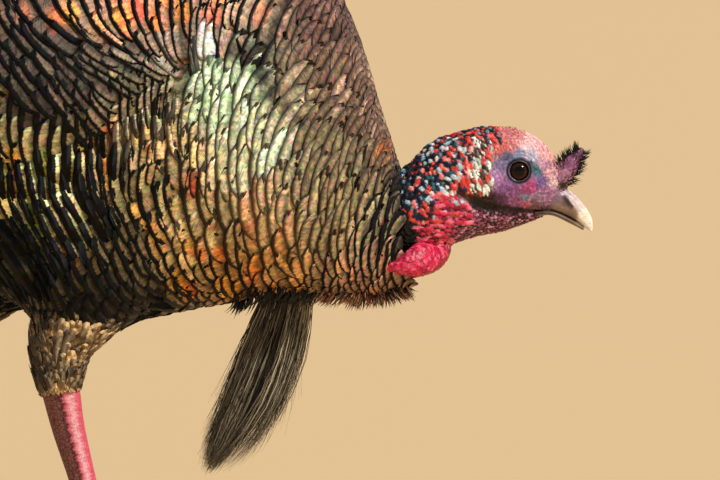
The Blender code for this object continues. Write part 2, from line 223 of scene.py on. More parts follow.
def new_mesh(name, corners, faces):
    """A mesh from points and faces: a list of integer arrays, one for each number of corners."""
    mesh = bpy.data.meshes.new(name)
    sizes = np.concatenate([np.full(len(group), group.shape[1]) for group in faces])
    loops = np.concatenate([group.reshape(-1) for group in faces])
    mesh.vertices.add(len(corners))
    mesh.loops.add(len(loops))
    mesh.polygons.add(len(sizes))
    fill(mesh.vertices, "co", corners)
    fill(mesh.loops, "vertex_index", loops, np.int32)
    fill(mesh.polygons, "loop_start", np.cumsum(sizes) - sizes, np.int32)
    fill(mesh.polygons, "loop_total", sizes, np.int32)
    mesh.update(calc_edges=True)
    mesh.validate()
    return mesh


def make_piece(name, corners, faces, look, slot):
    """A visible piece of the bird from points in mm."""
    mesh = new_mesh(name, to_frame(corners), faces)
    mesh.shade_smooth()
    mesh.materials.append(look)
    piece = add_object(name, mesh)
    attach(piece, "root")
    return piece


def paint(piece, name, values):
    """Stores a colour, or three or four numbers, for each point."""
    if values.shape[1] == 3:
        values = np.concatenate([values, np.ones((len(values), 1))], 1)
    fill(piece.data.attributes.new(name, "FLOAT_COLOR", "POINT").data, "color", values)


def lay_map(piece, name, places):
    """Stores a UV map, given for each point."""
    corner = read(piece.data.loops, "vertex_index", 1, np.int32)[:, 0]
    fill(piece.data.uv_layers.new(name=name).data, "uv", places[corner])


def grid_faces(rows, columns, closed=False, start=0):
    """The four-sided faces of a grid of points, closed into a tube or not."""
    i, j = net(np.arange(rows - 1), np.arange(columns if closed else columns - 1))
    here, there = i * columns, (i + 1) * columns
    k = (j + 1) % columns
    return start + np.stack([here + j, here + k, there + k, there + j], -1).reshape(-1, 4)


# ---------------------------------------------------------------- colours and materials

def linear(hex_colour):
    """An sRGB hex colour as linear red, green and blue."""
    parts = np.array([int(hex_colour[i:i + 2], 16) for i in (1, 3, 5)]) / 255
    return np.where(parts <= 0.04045, parts / 12.92, ((parts + 0.055) / 1.055) ** 2.4)


def colour(hex_colour):
    return (*linear(hex_colour), 1.0)


def blend(first, last, share):
    """From the first colour to the last: the share is 0 to 1 for each point."""
    first, last = (linear(hue) if isinstance(hue, str) else hue for hue in (first, last))
    return first * (1 - share) + last * share


def plug(node, *values, **named):
    """Sets a node's inputs, in order or by name. A node or an output given as a value is linked instead."""
    free = [socket for socket in node.inputs if socket.enabled]
    by_name = {socket.name.replace(" ", "_"): socket for socket in reversed(free)}
    for socket, value in [*zip(free, values), *((by_name[key], value) for key, value in named.items())]:
        if isinstance(value, bpy.types.Node):
            value = next(output for output in value.outputs if output.enabled)
        if isinstance(value, bpy.types.NodeSocket):
            node.id_data.links.new(value, socket)
        else:
            socket.default_value = value


def add_node(tree, kind, *values, **named):
    """Adds a node of a kind, with its operation behind the kind, sets its properties, which have small
    letters, and sets or links its inputs."""
    kind, *operation = kind.split()
    node = tree.nodes.new("ShaderNode" + kind)
    if operation:
        node.operation = operation[0]
    for key in [key for key in named if key.islower()]:
        setattr(node, key, named.pop(key))
    plug(node, *values, **named)
    return node


def new_material(name, **sockets):
    """A Principled material with constant values on the shader's own sockets, and what adds its nodes."""
    made = bpy.data.materials.new(name)
    made.use_nodes = True
    shader = made.node_tree.nodes["Principled BSDF"]
    plug(shader, **sockets)
    return made, functools.partial(add_node, made.node_tree), shader


# ---------------------------------------------------------------- how the plumage lies

# A row of feather tips is named by its station level with the shoulder. Above that level it bends towards the
# tail or the head, and below it, on the flank, towards the head: station of the row, shift at the back, how
# fast it gets there (degrees), shift at the keel, where that starts (share of the way down to the keel).
SHOULDER_LEVEL = math.radians(78)
ROW_BENDS = np.array([
    (-0.6, -0.3, 60, 0.6, 0), (0.0, -0.6, 60, 0.6, 0), (0.7, -0.7, 55, 0.5, 0), (2.1, -0.68, 50, 0.4, 0),
    (3.0, -0.55, 40, 0.1, 0), (3.4, -0.25, 30, 0.05, 0), (3.65, 0.1, 18, 0, 0.1),
    (3.9, 0.5, 10, -0.15, 0.2), (4.2, 1.0, 9, -0.36, 0.22), (4.5, 1.05, 9, -0.55, 0.24),
    (5.0, 0.85, 10, -0.85, 0.25), (5.5, 0.5, 13, -1.0, 0.37), (6.0, 0.42, 14, -1.05, 0.37),
    (7.0, 0.45, 16, -0.95, 0.3), (8.0, 0.5, 20, -0.6, 0.2), (9.5, 0.4, 30, -0.2, 0), (12.0, 0.2, 40, 0, 0),
])
# The lower edge of the wing and shoulder feathers, as station and angle down from the back in degrees.
WING_EDGE = np.array([
    (3.6, 68), (3.83, 73), (4.04, 77), (4.27, 81), (4.59, 86), (4.75, 89), (4.9, 94), (5.05, 97), (5.2, 96.5),
    (5.35, 93.5), (5.6, 89), (5.9, 86), (6.5, 88), (7.2, 95), (8.0, 104), (8.6, 112), (9.0, 116),
])


def row_bend(row, part):
    return np.interp(row, ROW_BENDS[:, 0], ROW_BENDS[:, part])


def upper_row(row, angle):
    """Station of a row at an angle, from the back down to the wing's lower edge."""
    above = np.degrees(SHOULDER_LEVEL - angle)
    scale = row_bend(row, 2)
    rise = np.where(above > 0, 1 - np.exp(-np.maximum(above, 0) / scale), above / scale)
    return row + row_bend(row, 1) * rise


def lower_row(row, angle):
    """Station of a row at an angle, from the shoulder's level down to the keel."""
    down = (angle - SHOULDER_LEVEL) / (math.pi - SHOULDER_LEVEL)
    start, shift = row_bend(row, 4), row_bend(row, 3)
    fall = np.clip((down - start) / (1 - start), 0, 1)
    forward = fall**1.5 * (1 - 0.45 * fall**2) / 0.55
    return row + np.where(shift > 0, shift * (1 - (1 - fall) ** 2), shift * forward)


def whole_row(row, angle):
    return np.where(angle < SHOULDER_LEVEL, upper_row(row, angle), lower_row(row, angle))


def wing_edge(station):
    return np.radians(np.interp(station, WING_EDGE[:, 0], WING_EDGE[:, 1]))


# How far apart the rows are, in mm, at places given by station and angle in degrees.
ROW_GAPS = [
    (0.0, 0, 4.5), (1.5, 0, 5), (3.0, 0, 6.5), (4.0, 0, 8.5), (5.5, 0, 11), (7.0, 0, 12), (9.0, 0, 14),
    (10.6, 0, 18), (0.0, 90, 5.6), (1.5, 80, 7.4), (3.0, 70, 7.8), (4.2, 66, 7.2), (4.8, 62, 10),
    (5.4, 62, 10.5), (4.5, 76, 6), (4.9, 78, 5.5), (5.2, 82, 6.5), (5.6, 84, 8), (5.9, 72, 9.5),
    (6.6, 60, 11), (8.0, 60, 12), (9.5, 90, 12), (0.0, 180, 4.5), (1.5, 180, 5.5), (3.0, 180, 7.2),
    (5.0, 180, 8), (8.0, 180, 8), (3.5, 120, 8.2), (6.0, 120, 8.4), (5.0, 105, 8), (5.0, 140, 8),
    (10.6, 180, 12),
]


def row_gap(station, angle):
    """The wanted gap between rows, blended from the nearest of the places above."""
    places = np.array(ROW_GAPS, float)
    turned = (np.degrees(angle)[..., None] - places[:, 1]) / 40
    apart = (station[..., None] - places[:, 0]) ** 2 + turned**2
    weight = 1 / (apart + 0.05) ** 2
    return (weight * places[:, 2]).sum(-1) / weight.sum(-1)


def smooth(values, times):
    """Moves each value of a net, in place, to the mean of itself twice and its four neighbours."""
    for _ in range(times):
        near = values[:-2, 1:-1] + values[2:, 1:-1] + values[1:-1, :-2] + values[1:-1, 2:]
        values[1:-1, 1:-1] = (values[1:-1, 1:-1] * 2 + near) / 6


class Chart:
    """A surface held on a fine net, and looked up at many stations and angles at once."""

    def __init__(self, point, first, last, per_station=24, angles=330, reach=math.pi + 0.7, lift=None):
        self.first, self.step = first, 1 / per_station
        self.low, self.turn = -reach, 2 * reach / (angles - 1)
        stations = np.arange(first, last + self.step, self.step)
        self.points = point(*net(stations, np.linspace(-reach, reach, angles)))
        self.measure()
        if lift:
            self.points = self.points + self.normals * lift(self.points, self.normals)[..., None]
            smooth(self.points, 16)
            self.measure()

    def measure(self):
        self.along = np.gradient(self.points, self.step, axis=0)
        self.around = np.gradient(self.points, self.turn, axis=1)
        self.normals = unit(np.cross(self.around, self.along))

    def look(self, station, angle, *kinds):
        """The kinds of values asked for, such as points or normals, at each station and angle."""
        rows, columns = self.points.shape[:2]
        i = np.clip((station - self.first) / self.step, 0, rows - 1.001)
        j = np.clip((angle - self.low) / self.turn, 0, columns - 1.001)
        a, b = np.floor(i).astype(int), np.floor(j).astype(int)
        p, q = (i - a)[..., None], (j - b)[..., None]
        found = [
            values[a, b] * (1 - p) * (1 - q) + values[a + 1, b] * p * (1 - q)
            + values[a, b + 1] * (1 - p) * q + values[a + 1, b + 1] * p * q
            for values in (getattr(self, kind) for kind in kinds)
        ]
        return found if len(kinds) > 1 else found[0]


def relief(points, normals):
    """How far the plumage stands off the body to pass over the thighs."""
    lift = np.zeros(points.shape[:-1])
    for side in SIDES:
        for x, y, z, radius in spline(LEGS[side]["thigh"], np.linspace(0, 2.6, 16)):
            from_middle = points - np.array([x, y * side, z])
            b = (from_middle * normals).sum(-1)
            inside = b * b - (from_middle**2).sum(-1) + (radius + 5) ** 2
            lift = np.maximum(lift, np.where(inside > 0, -b + np.sqrt(np.maximum(inside, 0)), 0))
    lift = np.minimum(lift, 42)
    smooth(lift, 70)
    return lift


FIRST_STATION, LAST_STATION = -1.2, 11.6
BODY = Chart(body, FIRST_STATION, LAST_STATION, lift=relief)


def plant_rows(side, rows, row_station, first_angle, last_angle, broad=(1.9, 2)):
    """Feather tips along fine rows on one side of the body, from the back to the keel. Where the rows run
    close together only every second, fourth or eighth one carries feathers. Returns one line for each
    feather: station, angle, flow as a vector of three, gap between the rows and gap between feathers."""
    steps = 241
    angle = np.broadcast_to(np.linspace(0, math.pi, steps), (len(rows), steps))
    station = np.array([row_station(row, angle[0]) for row in rows])
    # the rows waver a little, so that no two are quite alike
    waver = np.array([
        [noise.noise(Vector((row * 1.6, turn * 2.6, side * 7.0))) for turn in angle[0]] for row in rows
    ])
    station += 0.11 * waver * np.clip((8.0 - rows[:, None]) / 3, 0.1, 1)
    points, normal = BODY.look(station, angle * side, "points", "normals")
    run = np.gradient(points, axis=1)
    length = np.linalg.norm(run, axis=-1)
    flow = unit(np.cross(normal, run) * side)
    apart = np.abs((np.gradient(points, axis=0) * flow).sum(-1))
    stride = 2.0 ** np.clip(np.round(np.log2(row_gap(station, angle) / np.maximum(apart, 0.05))), 0, 6)
    first, last = first_angle(station), last_angle(station)
    found = []
    for i in range(len(rows)):
        place = 0.75 * ((i // stride[i, 0]) % 2) * apart[i, 0] * stride[i, 0] / length[i, 0]
        while place < steps - 1:
            j = int(place)
            gap = apart[i, j] * stride[i, j]
            width = (broad[0] * gap + broad[1]) * rng.uniform(0.75, 1.25)
            turn = place / (steps - 1) * math.pi
            if i % stride[i, j] == 0 and first[i, j] <= turn <= last[i, j]:
                found.append((station[i, j], turn * side, *flow[i, j], gap, width))
            place += max(width / length[i, j], 0.3)
    return np.array(found)


# ---------------------------------------------------------------- feathers

# What 1 mm from a vane's tip is in its map.
VANE_SCALE = 0.01


def column(values):
    return np.asarray(values, float).reshape(-1, 1)


def grow_vanes(
    chart, tips, length, half, lift, depth, camber, corner, power,
    shape=(6, 7), tilt=0.0, curl=0.0, lean=0.0, slip=0.0,
):
    """Closed feather vanes whose tips end at the given places and which run back under the feathers before.

    Each row of tips is station, angle (negative on the right), and flow (three numbers). The lift is the
    height of the tip over the chart, the depth is how far the root sinks below it, and the camber is how much
    the vane is arched. The corner and power round the tip, the curl is how far it bends down, the lean is how
    far one edge lies under the vane beside it, and the slip draws the tip back from its row. Returns points,
    faces, the vane's own map (across, and from the tip) and the root map.
    """
    across_count, along_count = shape
    count = len(tips)
    station, angle, flow, gap = tips[:, 0], tips[:, 1], tips[:, 2:5], column(np.maximum(tips[:, 5], 1))
    length, half, lift, depth, camber, corner, curl, slip = (
        column(values) for values in (length, half, lift, depth, camber, corner, curl, slip)
    )
    along, around, normal = chart.look(station, angle, "along", "around", "normals")
    flow = unit(flow - normal * (flow * normal).sum(-1, keepdims=True))
    flow = flow * np.cos(column(tilt)) + np.cross(normal, flow) * np.sin(column(tilt))
    aa, ab, bb = (along * along).sum(-1), (along * around).sum(-1), (around * around).sum(-1)
    scale = aa * bb - ab * ab

    def rates(vector):
        """How fast station and angle change along a vector."""
        va, vb = (along * vector).sum(-1), (around * vector).sum(-1)
        return column((va * bb - vb * ab) / scale), column((vb * aa - va * ab) / scale)

    flow_station, flow_angle = rates(flow)
    side_station, side_angle = rates(np.cross(normal, flow))
    v = 1 - (1 - np.linspace(0, 1, along_count + 1)) ** 1.4
    u, v = (grid.reshape(-1) for grid in np.meshgrid(np.linspace(-1, 1, across_count + 1), v))
    widening = 0.35 + 0.65 * np.clip(v / 0.55, 0, 1) ** 0.7
    beside = half * u * widening
    back = (1 - v) * length + corner * half * 2 * np.abs(u) ** power * v + slip
    places = (
        column(station) - flow_station * back + side_station * beside,
        column(angle) - flow_angle * back + side_angle * beside,
    )
    height = lift - depth * (1 - v) - camber * u**2 * widening
    height = height - curl * np.clip(1 - back / (0.55 * gap), 0, 1) ** 2 - lean * u
    points, normals = chart.look(*places, "points", "normals")
    points = points + normals * height[..., None]
    per_vane = (across_count + 1) * (along_count + 1)
    rim = np.arange(along_count + 1) * (across_count + 1)
    under = np.stack([rim[1:], rim[1:] + across_count, rim[:-1] + across_count, rim[:-1]], -1)
    root_end = np.arange(across_count, -1, -1)
    ends = np.array([root_end, per_vane - 1 - root_end])
    shift = (np.arange(count) * per_vane)[:, None, None]
    quads = np.concatenate([grid_faces(along_count + 1, across_count + 1), under])
    faces = [(quads + shift).reshape(-1, 4), (ends + shift).reshape(-1, across_count + 1)]
    own = np.stack([np.broadcast_to((u + 1) / 2, (count, per_vane)), (1 - v) * length * VANE_SCALE], -1)
    root = np.stack([(station - FIRST_STATION) / 13, angle / 8 + 0.5], -1)[:, None]
    patch = PATCH * np.stack([v - 0.5, u / 2], -1)
    return points.reshape(-1, 3), faces, own.reshape(-1, 2), (root + patch).reshape(-1, 2)


# Where each kind of plumage is: x and z of its middle, reach (mm), vane colour, colour of the brightest
# feathers and their share, and the black tip's share of what shows of each feather.
PLUMAGE = {
    "nape": (228, 350, 38, "#84624F", "#BA907A", 0.25, 0.15),
    "neck top": (206, 412, 22, "#745046", "#A87A6C", 0.25, 0.18),
    "neck side": (200, 315, 34, "#8C785A", "#B0A47E", 0.3, 0.12),
    "lower neck": (206, 268, 26, "#98805C", "#B89E74", 0.25, 0.17),
    "throat": (225, 222, 24, "#94705A", "#C08464", 0.3, 0.34),
    "collar": (236, 258, 18, "#7E7458", "#A09878", 0.3, 0.6),
    # the collar's rim is near-black: dark feathers in part, and painted shade in part where the rim meets the
    # bare neck
    "collar edge": (254, 250, 13, "#0C0E12", "#141C22", 0.3, 0.6),
    "collar nape": (257, 294, 12, "#0C1018", "#14283A", 0.4, 0.4),
    "nape spot": (240, 318, 7, "#B8683C", "#D87C40", 0.4, 0.2),
    # the hollow's dark vanes are painted shade, where the neck's feathers part from the shoulder's
    "hollow": (151, 380, 9, "#3A3129", "#54483C", 0.1, 0.3),
    "shoulder top": (94, 378, 9, "#8E857A", "#C4BCB0", 0.4, 0.08),
    "down tuft": (112, 388, 9, "#A8A49A", "#DAD6CC", 0.4, 0.08),
    # the pale mint of the shoulder and upper breast is their green sheen with a painted highlight on it
    "shoulder": (122, 350, 23, "#CEE2B8", "#E4F4CA", 0.5, 0.14),
    "upper breast": (148, 315, 26, "#CCC4A0", "#DEE6C8", 0.4, 0.17),
    "breast": (158, 274, 25, "#BE9E7A", "#C88C66", 0.25, 0.17),
    "breast front": (146, 236, 22, "#AE8254", "#DA9048", 0.34, 0.27),
    "breast low": (128, 222, 16, "#8A6038", "#E09A40", 0.34, 0.38),
    "breast side": (108, 255, 26, "#C4A878", "#DC9656", 0.2, 0.25),
    "breast rear": (95, 320, 24, "#C6AC82", "#DCB888", 0.25, 0.24),
    "flank top": (60, 322, 16, "#E0C89C", "#F4B070", 0.25, 0.2),
    "flank": (60, 284, 28, "#A08C68", "#CC9454", 0.18, 0.37),
    "flank rear": (-2, 280, 38, "#D2C088", "#DCD060", 0.3, 0.34),
    "lower flank": (56, 240, 28, "#5C4C34", "#8C7042", 0.14, 0.48),
    # the belly's near-black is its own dark brown, darkened further as painted shade under the body
    "belly": (40, 206, 36, "#1E1711", "#38291A", 0.15, 0.62),
    "belly front": (138, 206, 9, "#7A5230", "#B0682C", 0.25, 0.44),
    "belly rear": (-20, 240, 34, "#2E2A1C", "#4A4428", 0.15, 0.6),
    "wing coverts": (8, 358, 38, "#4A4039", "#7A6656", 0.15, 0.48),
    "wing shoulder": (60, 368, 24, "#665A4C", "#94826C", 0.25, 0.4),
    "back": (70, 425, 44, "#8E6A54", "#D87A48", 0.35, 0.36),
    "rump": (-150, 440, 90, "#6E4A34", "#C87C3A", 0.22, 0.36),
    "tail coverts": (-360, 385, 60, "#7E5438", "#B08048", 0.2, 0.34),
    "vent": (-180, 280, 70, "#4A3A2A", "#6E5640", 0.1, 0.4),
}
# Single feathers and small groups that catch the light: x, z, reach and colour.
GLINTS = [
    (109, 296, 10, "#B4583A"), (109, 288, 9, "#A85034"), (-15, 313, 8, "#E8A838"), (-13, 306, 6, "#E86838"),
    (-10, 297, 7, "#A8B42C"), (-3, 287, 8, "#AAB02C"), (-26, 293, 7, "#C8C030"), (-26, 267, 7, "#B0A834"),
    (-3, 268, 8, "#8E942C"), (46, 313, 9, "#F08438"), (36, 313, 7, "#D89040"), (54, 330, 9, "#F07034"),
    (67, 332, 6, "#E0B030"), (79, 317, 6, "#D07840"), (30, 286, 7, "#B8AC3C"), (14, 276, 7, "#C87838"),
    (38, 253, 7, "#B8A43C"), (5, 258, 6, "#98943C"), (26, 240, 6, "#C07838"), (98, 222, 10, "#F0A028"),
    (106, 216, 8, "#F06C28"), (134, 219, 9, "#F4A438"), (128, 243, 9, "#E88430"), (150, 228, 9, "#E87838"),
    (114, 243, 7, "#D86C38"), (122, 266, 6, "#B87850"), (146, 262, 7, "#B86C50"), (-6, 411, 9, "#D88060"),
    (15, 407, 9, "#E07848"), (27, 412, 9, "#E8A038"), (48, 401, 9, "#B07C50"), (62, 409, 10, "#F08C38"),
    (72, 414, 9, "#F0583C"), (83, 405, 8, "#F08034"), (103, 412, 10, "#E89040"), (123, 409, 10, "#E86040"),
    (156, 411, 9, "#E08C6C"),
]
# Painted shade in the dusky hollow where the neck's feathers part from the shoulder's, given in the same way.
PAINTED_HOLLOW_SHADE = [
    (136, 385, 8, "#4A3E3A"), (145, 381, 9, "#342A28"), (153, 374, 9, "#1E1A1A"), (158, 366, 8, "#1A1818"),
    (165, 356, 7, "#221D1B"), (173, 346, 5, "#3A322A"), (184, 337, 6, "#2A2420"),
]


def nearness(points, rows, floor, power):
    """The weight of each row, a place of x, z and reach, at each point."""
    x, z, reach = np.array([row[:3] for row in rows], float).T
    apart = ((points[:, None, 0] - x) ** 2 + (points[:, None, 2] - z) ** 2) / reach**2
    weight = 1 / (apart + floor) ** power
    return weight / weight.sum(1, keepdims=True)


def plumage_at(points):
    """Vane colour, bright colour, bright share and dark tip width for points in the bird's frame."""
    rows = list(PLUMAGE.values())
    values = np.array([(*linear(row[3]), *linear(row[4]), row[5], row[6]) for row in rows])
    mixed = nearness(points, rows, 0.08, 2.2) @ values
    return mixed[:, :3], mixed[:, 3:6], mixed[:, 6], mixed[:, 7]


def patches(points, size):
    """A smooth random value from about -1 to 1 for each point, with patches of the given size in mm."""
    return np.array([noise.noise(Vector(p) / size) for p in points]) * 1.6


def feather_coat(name, tips, slot, raised=0.0, vary=0.10):
    """One piece of the coat: vanes on the body, coloured by where they lie."""
    count = len(tips)
    station, angle, gap, width = tips[:, 0], tips[:, 1], tips[:, 5], tips[:, 6]
    places = BODY.look(station, angle, "points")
    vane, bright, share, dark = plumage_at(places)
    wobble = rng.normal(0, 1, (5, count))
    # near the collar the feathers are short, so that none reaches out over the bare neck
    room = np.maximum(station * 17, 0) + 6.5
    length = np.minimum((3.1 * gap + 4) * (1 + 0.05 * wobble[1]), room)
    half = 0.85 * width
    points, faces, own, root = grow_vanes(
        BODY, tips, length, half, raised - 0.3 + 0.14 * wobble[0],
        np.minimum(0.72 * gap + 0.6, 0.26 * length), 0.04 * half + 0.1,
        0.10 * (1 + 0.6 * rng.random(count)), 3.0, tilt=0.05 * wobble[2], curl=0.14 * gap,
        lean=0.35, slip=0.08 * gap * rng.normal(0, 1, count),
    )
    piece = make_piece(name, points, faces, KERATIN, slot)
    streak = patches(places * (1, 1, 0.45), 9)
    chosen = np.clip(0.5 + 1.6 * (0.5 * streak + 0.6 * wobble[4] + 2.4 * (share - 0.5)), 0, 1)
    shade = 1 + vary * wobble[3] + 0.18 * streak + 0.16 * patches(places, 24)
    tint = blend(vane, bright, column(chosen)) * (0.99, 1.06, 1.16) * column(np.clip(shade, 0.4, 1.8))
    per_vane = len(points) // count
    tint = np.repeat(tint, per_vane, 0)
    keen = np.repeat(rng.uniform(0.55, 1.0, count), per_vane)
    # painted light: the glints are painted highlights on single feathers, and the hollow's spots are painted
    # shade
    for spots, strength in ((GLINTS, keen), (PAINTED_HOLLOW_SHADE, 0.92)):
        for x, z, reach, hue in spots:
            apart = np.hypot((points[:, 0] - x) * 1.25, (points[:, 2] - z) * 0.9)
            near = strength * np.clip((reach - apart) / (0.45 * reach), 0, 1)
            tint = blend(tint, linear(hue) * 0.8, column(near))
    # the last trait, the gap between rows, sets the painted shading of what shows
    traits = np.stack([dark * gap * 0.1, rng.random(count), chosen * 0.5, gap * 0.05], -1)
    # on the neck the dark tip turns to painted brown shade instead of black
    soft = np.repeat(np.clip((0.3 - dark) / 0.2, 0, 1), per_vane)
    finish_coat(piece, np.concatenate([tint, column(soft)], 1), np.repeat(traits, per_vane, 0), own, root)
    return piece


def finish_coat(piece, tint, traits, own, root):
    paint(piece, "tint", tint)
    paint(piece, "traits", traits)
    lay_map(piece, "vane", own)
    lay_map(piece, "OFBake", root)


def contour_feather():
    """Keratin vane whose barbules give a metallic sheen: the showing part is coloured, the tip is velvet
    black, and barbs run slanting off the shaft. Barbs are drawn 1 mm apart, coarser than the real 0.3 mm."""
    made, add, shader = new_material(
        "feather_keratin_iridescent", Metallic=0.3, IOR=1.55, Specular_IOR_Level=0.22,
    )
    tint = add("Attribute", attribute_name="tint")
    traits = add("Attribute", attribute_name="traits")
    softness = tint.outputs["Alpha"]
    dark, own_number, chosen = add("SeparateColor", traits).outputs
    across, up, _ = add("SeparateXYZ", add("UVMap", uv_map="vane")).outputs
    from_tip = add("Math MULTIPLY", up, 1 / VANE_SCALE)
    centred = add("Math SUBTRACT", across, 0.5)
    # along a barb this number stays the same
    barb = add("Math MULTIPLY_ADD", add("Math ABSOLUTE", centred), -22, from_tip)
    seed = add("Math MULTIPLY", own_number, 90)
    strand = add("CombineXYZ", barb, add("Math MULTIPLY_ADD", centred, 2.5, seed), seed)
    streaks = add("TexNoise", strand, Scale=1.1, Detail=2)
    wide = add("Math MULTIPLY_ADD", across, 16, seed)
    hair = add("CombineXYZ", wide, add("Math MULTIPLY", from_tip, 0.16), seed)
    hairs = add("TexNoise", hair, Scale=1, Detail=2)
    both = add("Math ADD", streaks, hairs)
    ragged = add("Math MULTIPLY_ADD", hairs, 2.2, from_tip)
    beyond = add("Math SUBTRACT", ragged, add("Math MULTIPLY", dark, 10))
    # where the tips are hardly black, on the neck, they are a soft brown instead, painted shade between the
    # rows
    blur = add("Math MULTIPLY_ADD", softness, 3.2, 1.6)
    edge = add("MapRange", beyond, 0.4, blur, interpolation_type="SMOOTHSTEP")
    # painted shade and highlight: what shows is lit brightest in its middle, and shaded where it comes out
    # from under the row before
    shown = add("Math MULTIPLY", traits.outputs["Alpha"], 20)
    off = add("Math SUBTRACT", add("Math DIVIDE", from_tip, shown), 0.5)
    painted_roll_shading = add("Math MULTIPLY_ADD", add("Math MULTIPLY", off, off), -2.2, 1.42)
    tone = add("MapRange", both, 0.75, 1.25, 0.5, 1.42)
    strength = add("Math MULTIPLY", add("Math MAXIMUM", painted_roll_shading, 0.6), tone)
    shaded = add("VectorMath SCALE", tint, strength)
    # the sheen shifts in hue every few millimetres, across the feathers' edges
    place = add("TexCoord").outputs["Object"]
    mottle = add("TexNoise", place, Scale=230, Detail=4, Roughness=0.62)
    hue_shift = add("VectorMath MULTIPLY_ADD", mottle.outputs["Color"], (1.5, 1.7, 1.6), (0.23, 0.17, 0.17))
    shifted = add("VectorMath MULTIPLY", shaded, hue_shift)
    rippled = add("VectorMath SCALE", shifted, add("MapRange", mottle, 0.35, 0.65, 0.74, 1.28))
    coloured = add("VectorMath MAXIMUM", rippled, (0.004, 0.004, 0.004))
    # the black tip has a faint painted sheen of blue, green or violet, another one in each feather
    sheen = add("TexNoise", hair, Scale=0.6, Detail=0).outputs["Color"]
    dusk = add("VectorMath MULTIPLY_ADD", sheen, (0.022, 0.022, 0.028), (-0.0075, -0.0065, -0.008))
    velvet = add("VectorMath MAXIMUM", dusk, (0.0012, 0.001, 0.001))
    brown = add("VectorMath SCALE", tint, add("Math MULTIPLY", softness, 0.45))
    tip = add("VectorMath ADD", velvet, brown)
    gloss = add("MapRange", chosen, To_Min=0.52, To_Max=0.44)
    plug(
        shader, Base_Color=add("Mix", edge, tip, coloured, data_type="RGBA"),
        Roughness=add("Mix", edge, 0.66, gloss),
        Normal=add("Bump", Height=both, Strength=0.5, Distance=0.0004),
    )
    return made


KERATIN = contour_feather()


def fine_rows(first, last, gap):
    """Row numbers spaced by a quarter of a gap (mm), measured along the shoulder's level, and closer where
    the rows meet at the front of the shoulder."""
    rows = [first]
    while rows[-1] < last:
        along = directions(bare_body, np.array([max(rows[-1], 0)]), np.array([SHOULDER_LEVEL]))[0]
        step = np.linalg.norm(along)
        parts = 12 if 3.3 < rows[-1] < 4.7 else 4
        rows.append(rows[-1] + gap / parts / step)
    return np.array(rows)


def dress_body():
    """The coat on each side: neck and breast in whole rows, then the back above the wing's edge and the
    flank below it."""
    keel = 4.0  # an angle past the keel
    for side, name in SIDES.items():
        front = plant_rows(
            side, fine_rows(-0.6, 3.88, 8.2), whole_row, lambda s: np.where(s < 0, 9, 0),
            lambda s: 0 * s + keel, (2.5, 3),
        )
        above = plant_rows(side, fine_rows(3.9, 11.0, 10.0), upper_row, lambda s: 0 * s, wing_edge)
        below = plant_rows(
            side, fine_rows(3.9, 11.0, 8.5), lower_row,
            lambda s: np.where(s < 4.12, 1.46, wing_edge(s) - 0.1), lambda s: 0 * s + keel,
        )
        # at the point of the shoulder, where all rows meet, a feather across the others would stand up
        front = front[(front[:, 0] < 3.93) | (np.abs(front[:, 1]) < 1.2)]
        above = above[(above[:, 0] > 4.03) | (np.abs(above[:, 1]) < 1.2)]
        feather_coat(f"feathers_neck_{name}", front[front[:, 0] < 1.9], "plumage")
        feather_coat(f"feathers_breast_{name}", front[front[:, 0] >= 1.9], "plumage")
        feather_coat(f"feathers_flank_{name}", below, "plumage", vary=0.24)
        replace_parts(feather_coat(f"feathers_back_{name}", above, "wing", raised=0.6), f"wing_{name}")


dress_body()


# ---------------------------------------------------------------- limbs and other tubes

ACROSS = np.array([0.0, 1.0, 0.0])


def cross_frame(ahead):
    """Two directions square to the way ahead: across the bird, and the third one."""
    across = unit(ACROSS - ahead * ahead[..., 1:2])
    return across, np.cross(ahead, across)


def tube(path, steps, around, width=1.0, side=1, inset=0.0):
    """Rings round a smooth path of (x, y, z, radius), in mm, as an array steps by around by three."""
    return path_rings(spline(path, np.linspace(0, len(path) - 1, steps)), around, width, side, inset)


def path_rings(rows, around, width=1.0, side=1, inset=0.0):
    centre = rows[:, :3] * (1, side, 1)
    across, deep = cross_frame(unit(np.gradient(centre, axis=0)))
    turn = np.linspace(0, math.tau, around, endpoint=False)[:, None]
    radius = np.maximum(rows[:, 3] - inset, 0.3)[:, None, None]
    return centre[:, None] + (across[:, None] * np.cos(turn) * width + deep[:, None] * np.sin(turn)) * radius


def tube_faces(rows, around, start=0):
    """A tube's faces with its two ends closed."""
    first = start + np.arange(around)
    last = first + (rows - 1) * around
    return [grid_faces(rows, around, True, start)[:, ::-1], first[None, :], last[None, ::-1]]


def rounded(rings):
    """The same tube with both ends rounded off by three smaller rings, which reach out by half a radius."""
    parts = [rings]
    for end, step in ((0, 1), (-1, -2)):
        middle = rings[end].mean(0)
        away = unit(middle - rings[step].mean(0))
        size = np.linalg.norm(rings[end] - middle, axis=1).mean()
        caps = [
            middle + (rings[end] - middle) * math.cos(t) + away * size * 0.5 * math.sin(t)
            for t in (0.5, 1.0, 1.42)
        ]
        parts = [np.array(caps[::-1])] + parts if end == 0 else parts + [np.array(caps)]
    return np.concatenate(parts)


def make_tube(name, rings, look, slot):
    return make_piece(name, rings.reshape(-1, 3), tube_faces(*rings.shape[:2]), look, slot)


def toe_line(side, heading, along, height, size):
    """Points of x, y, z and radius along a toe's heading from the ankle."""
    ankle = LEGS[side]["shank"][-1]
    turn = math.radians(heading) * side
    return np.stack([
        ankle[0] + along * math.cos(turn), ankle[1] * side + along * math.sin(turn), height, size,
    ], -1)


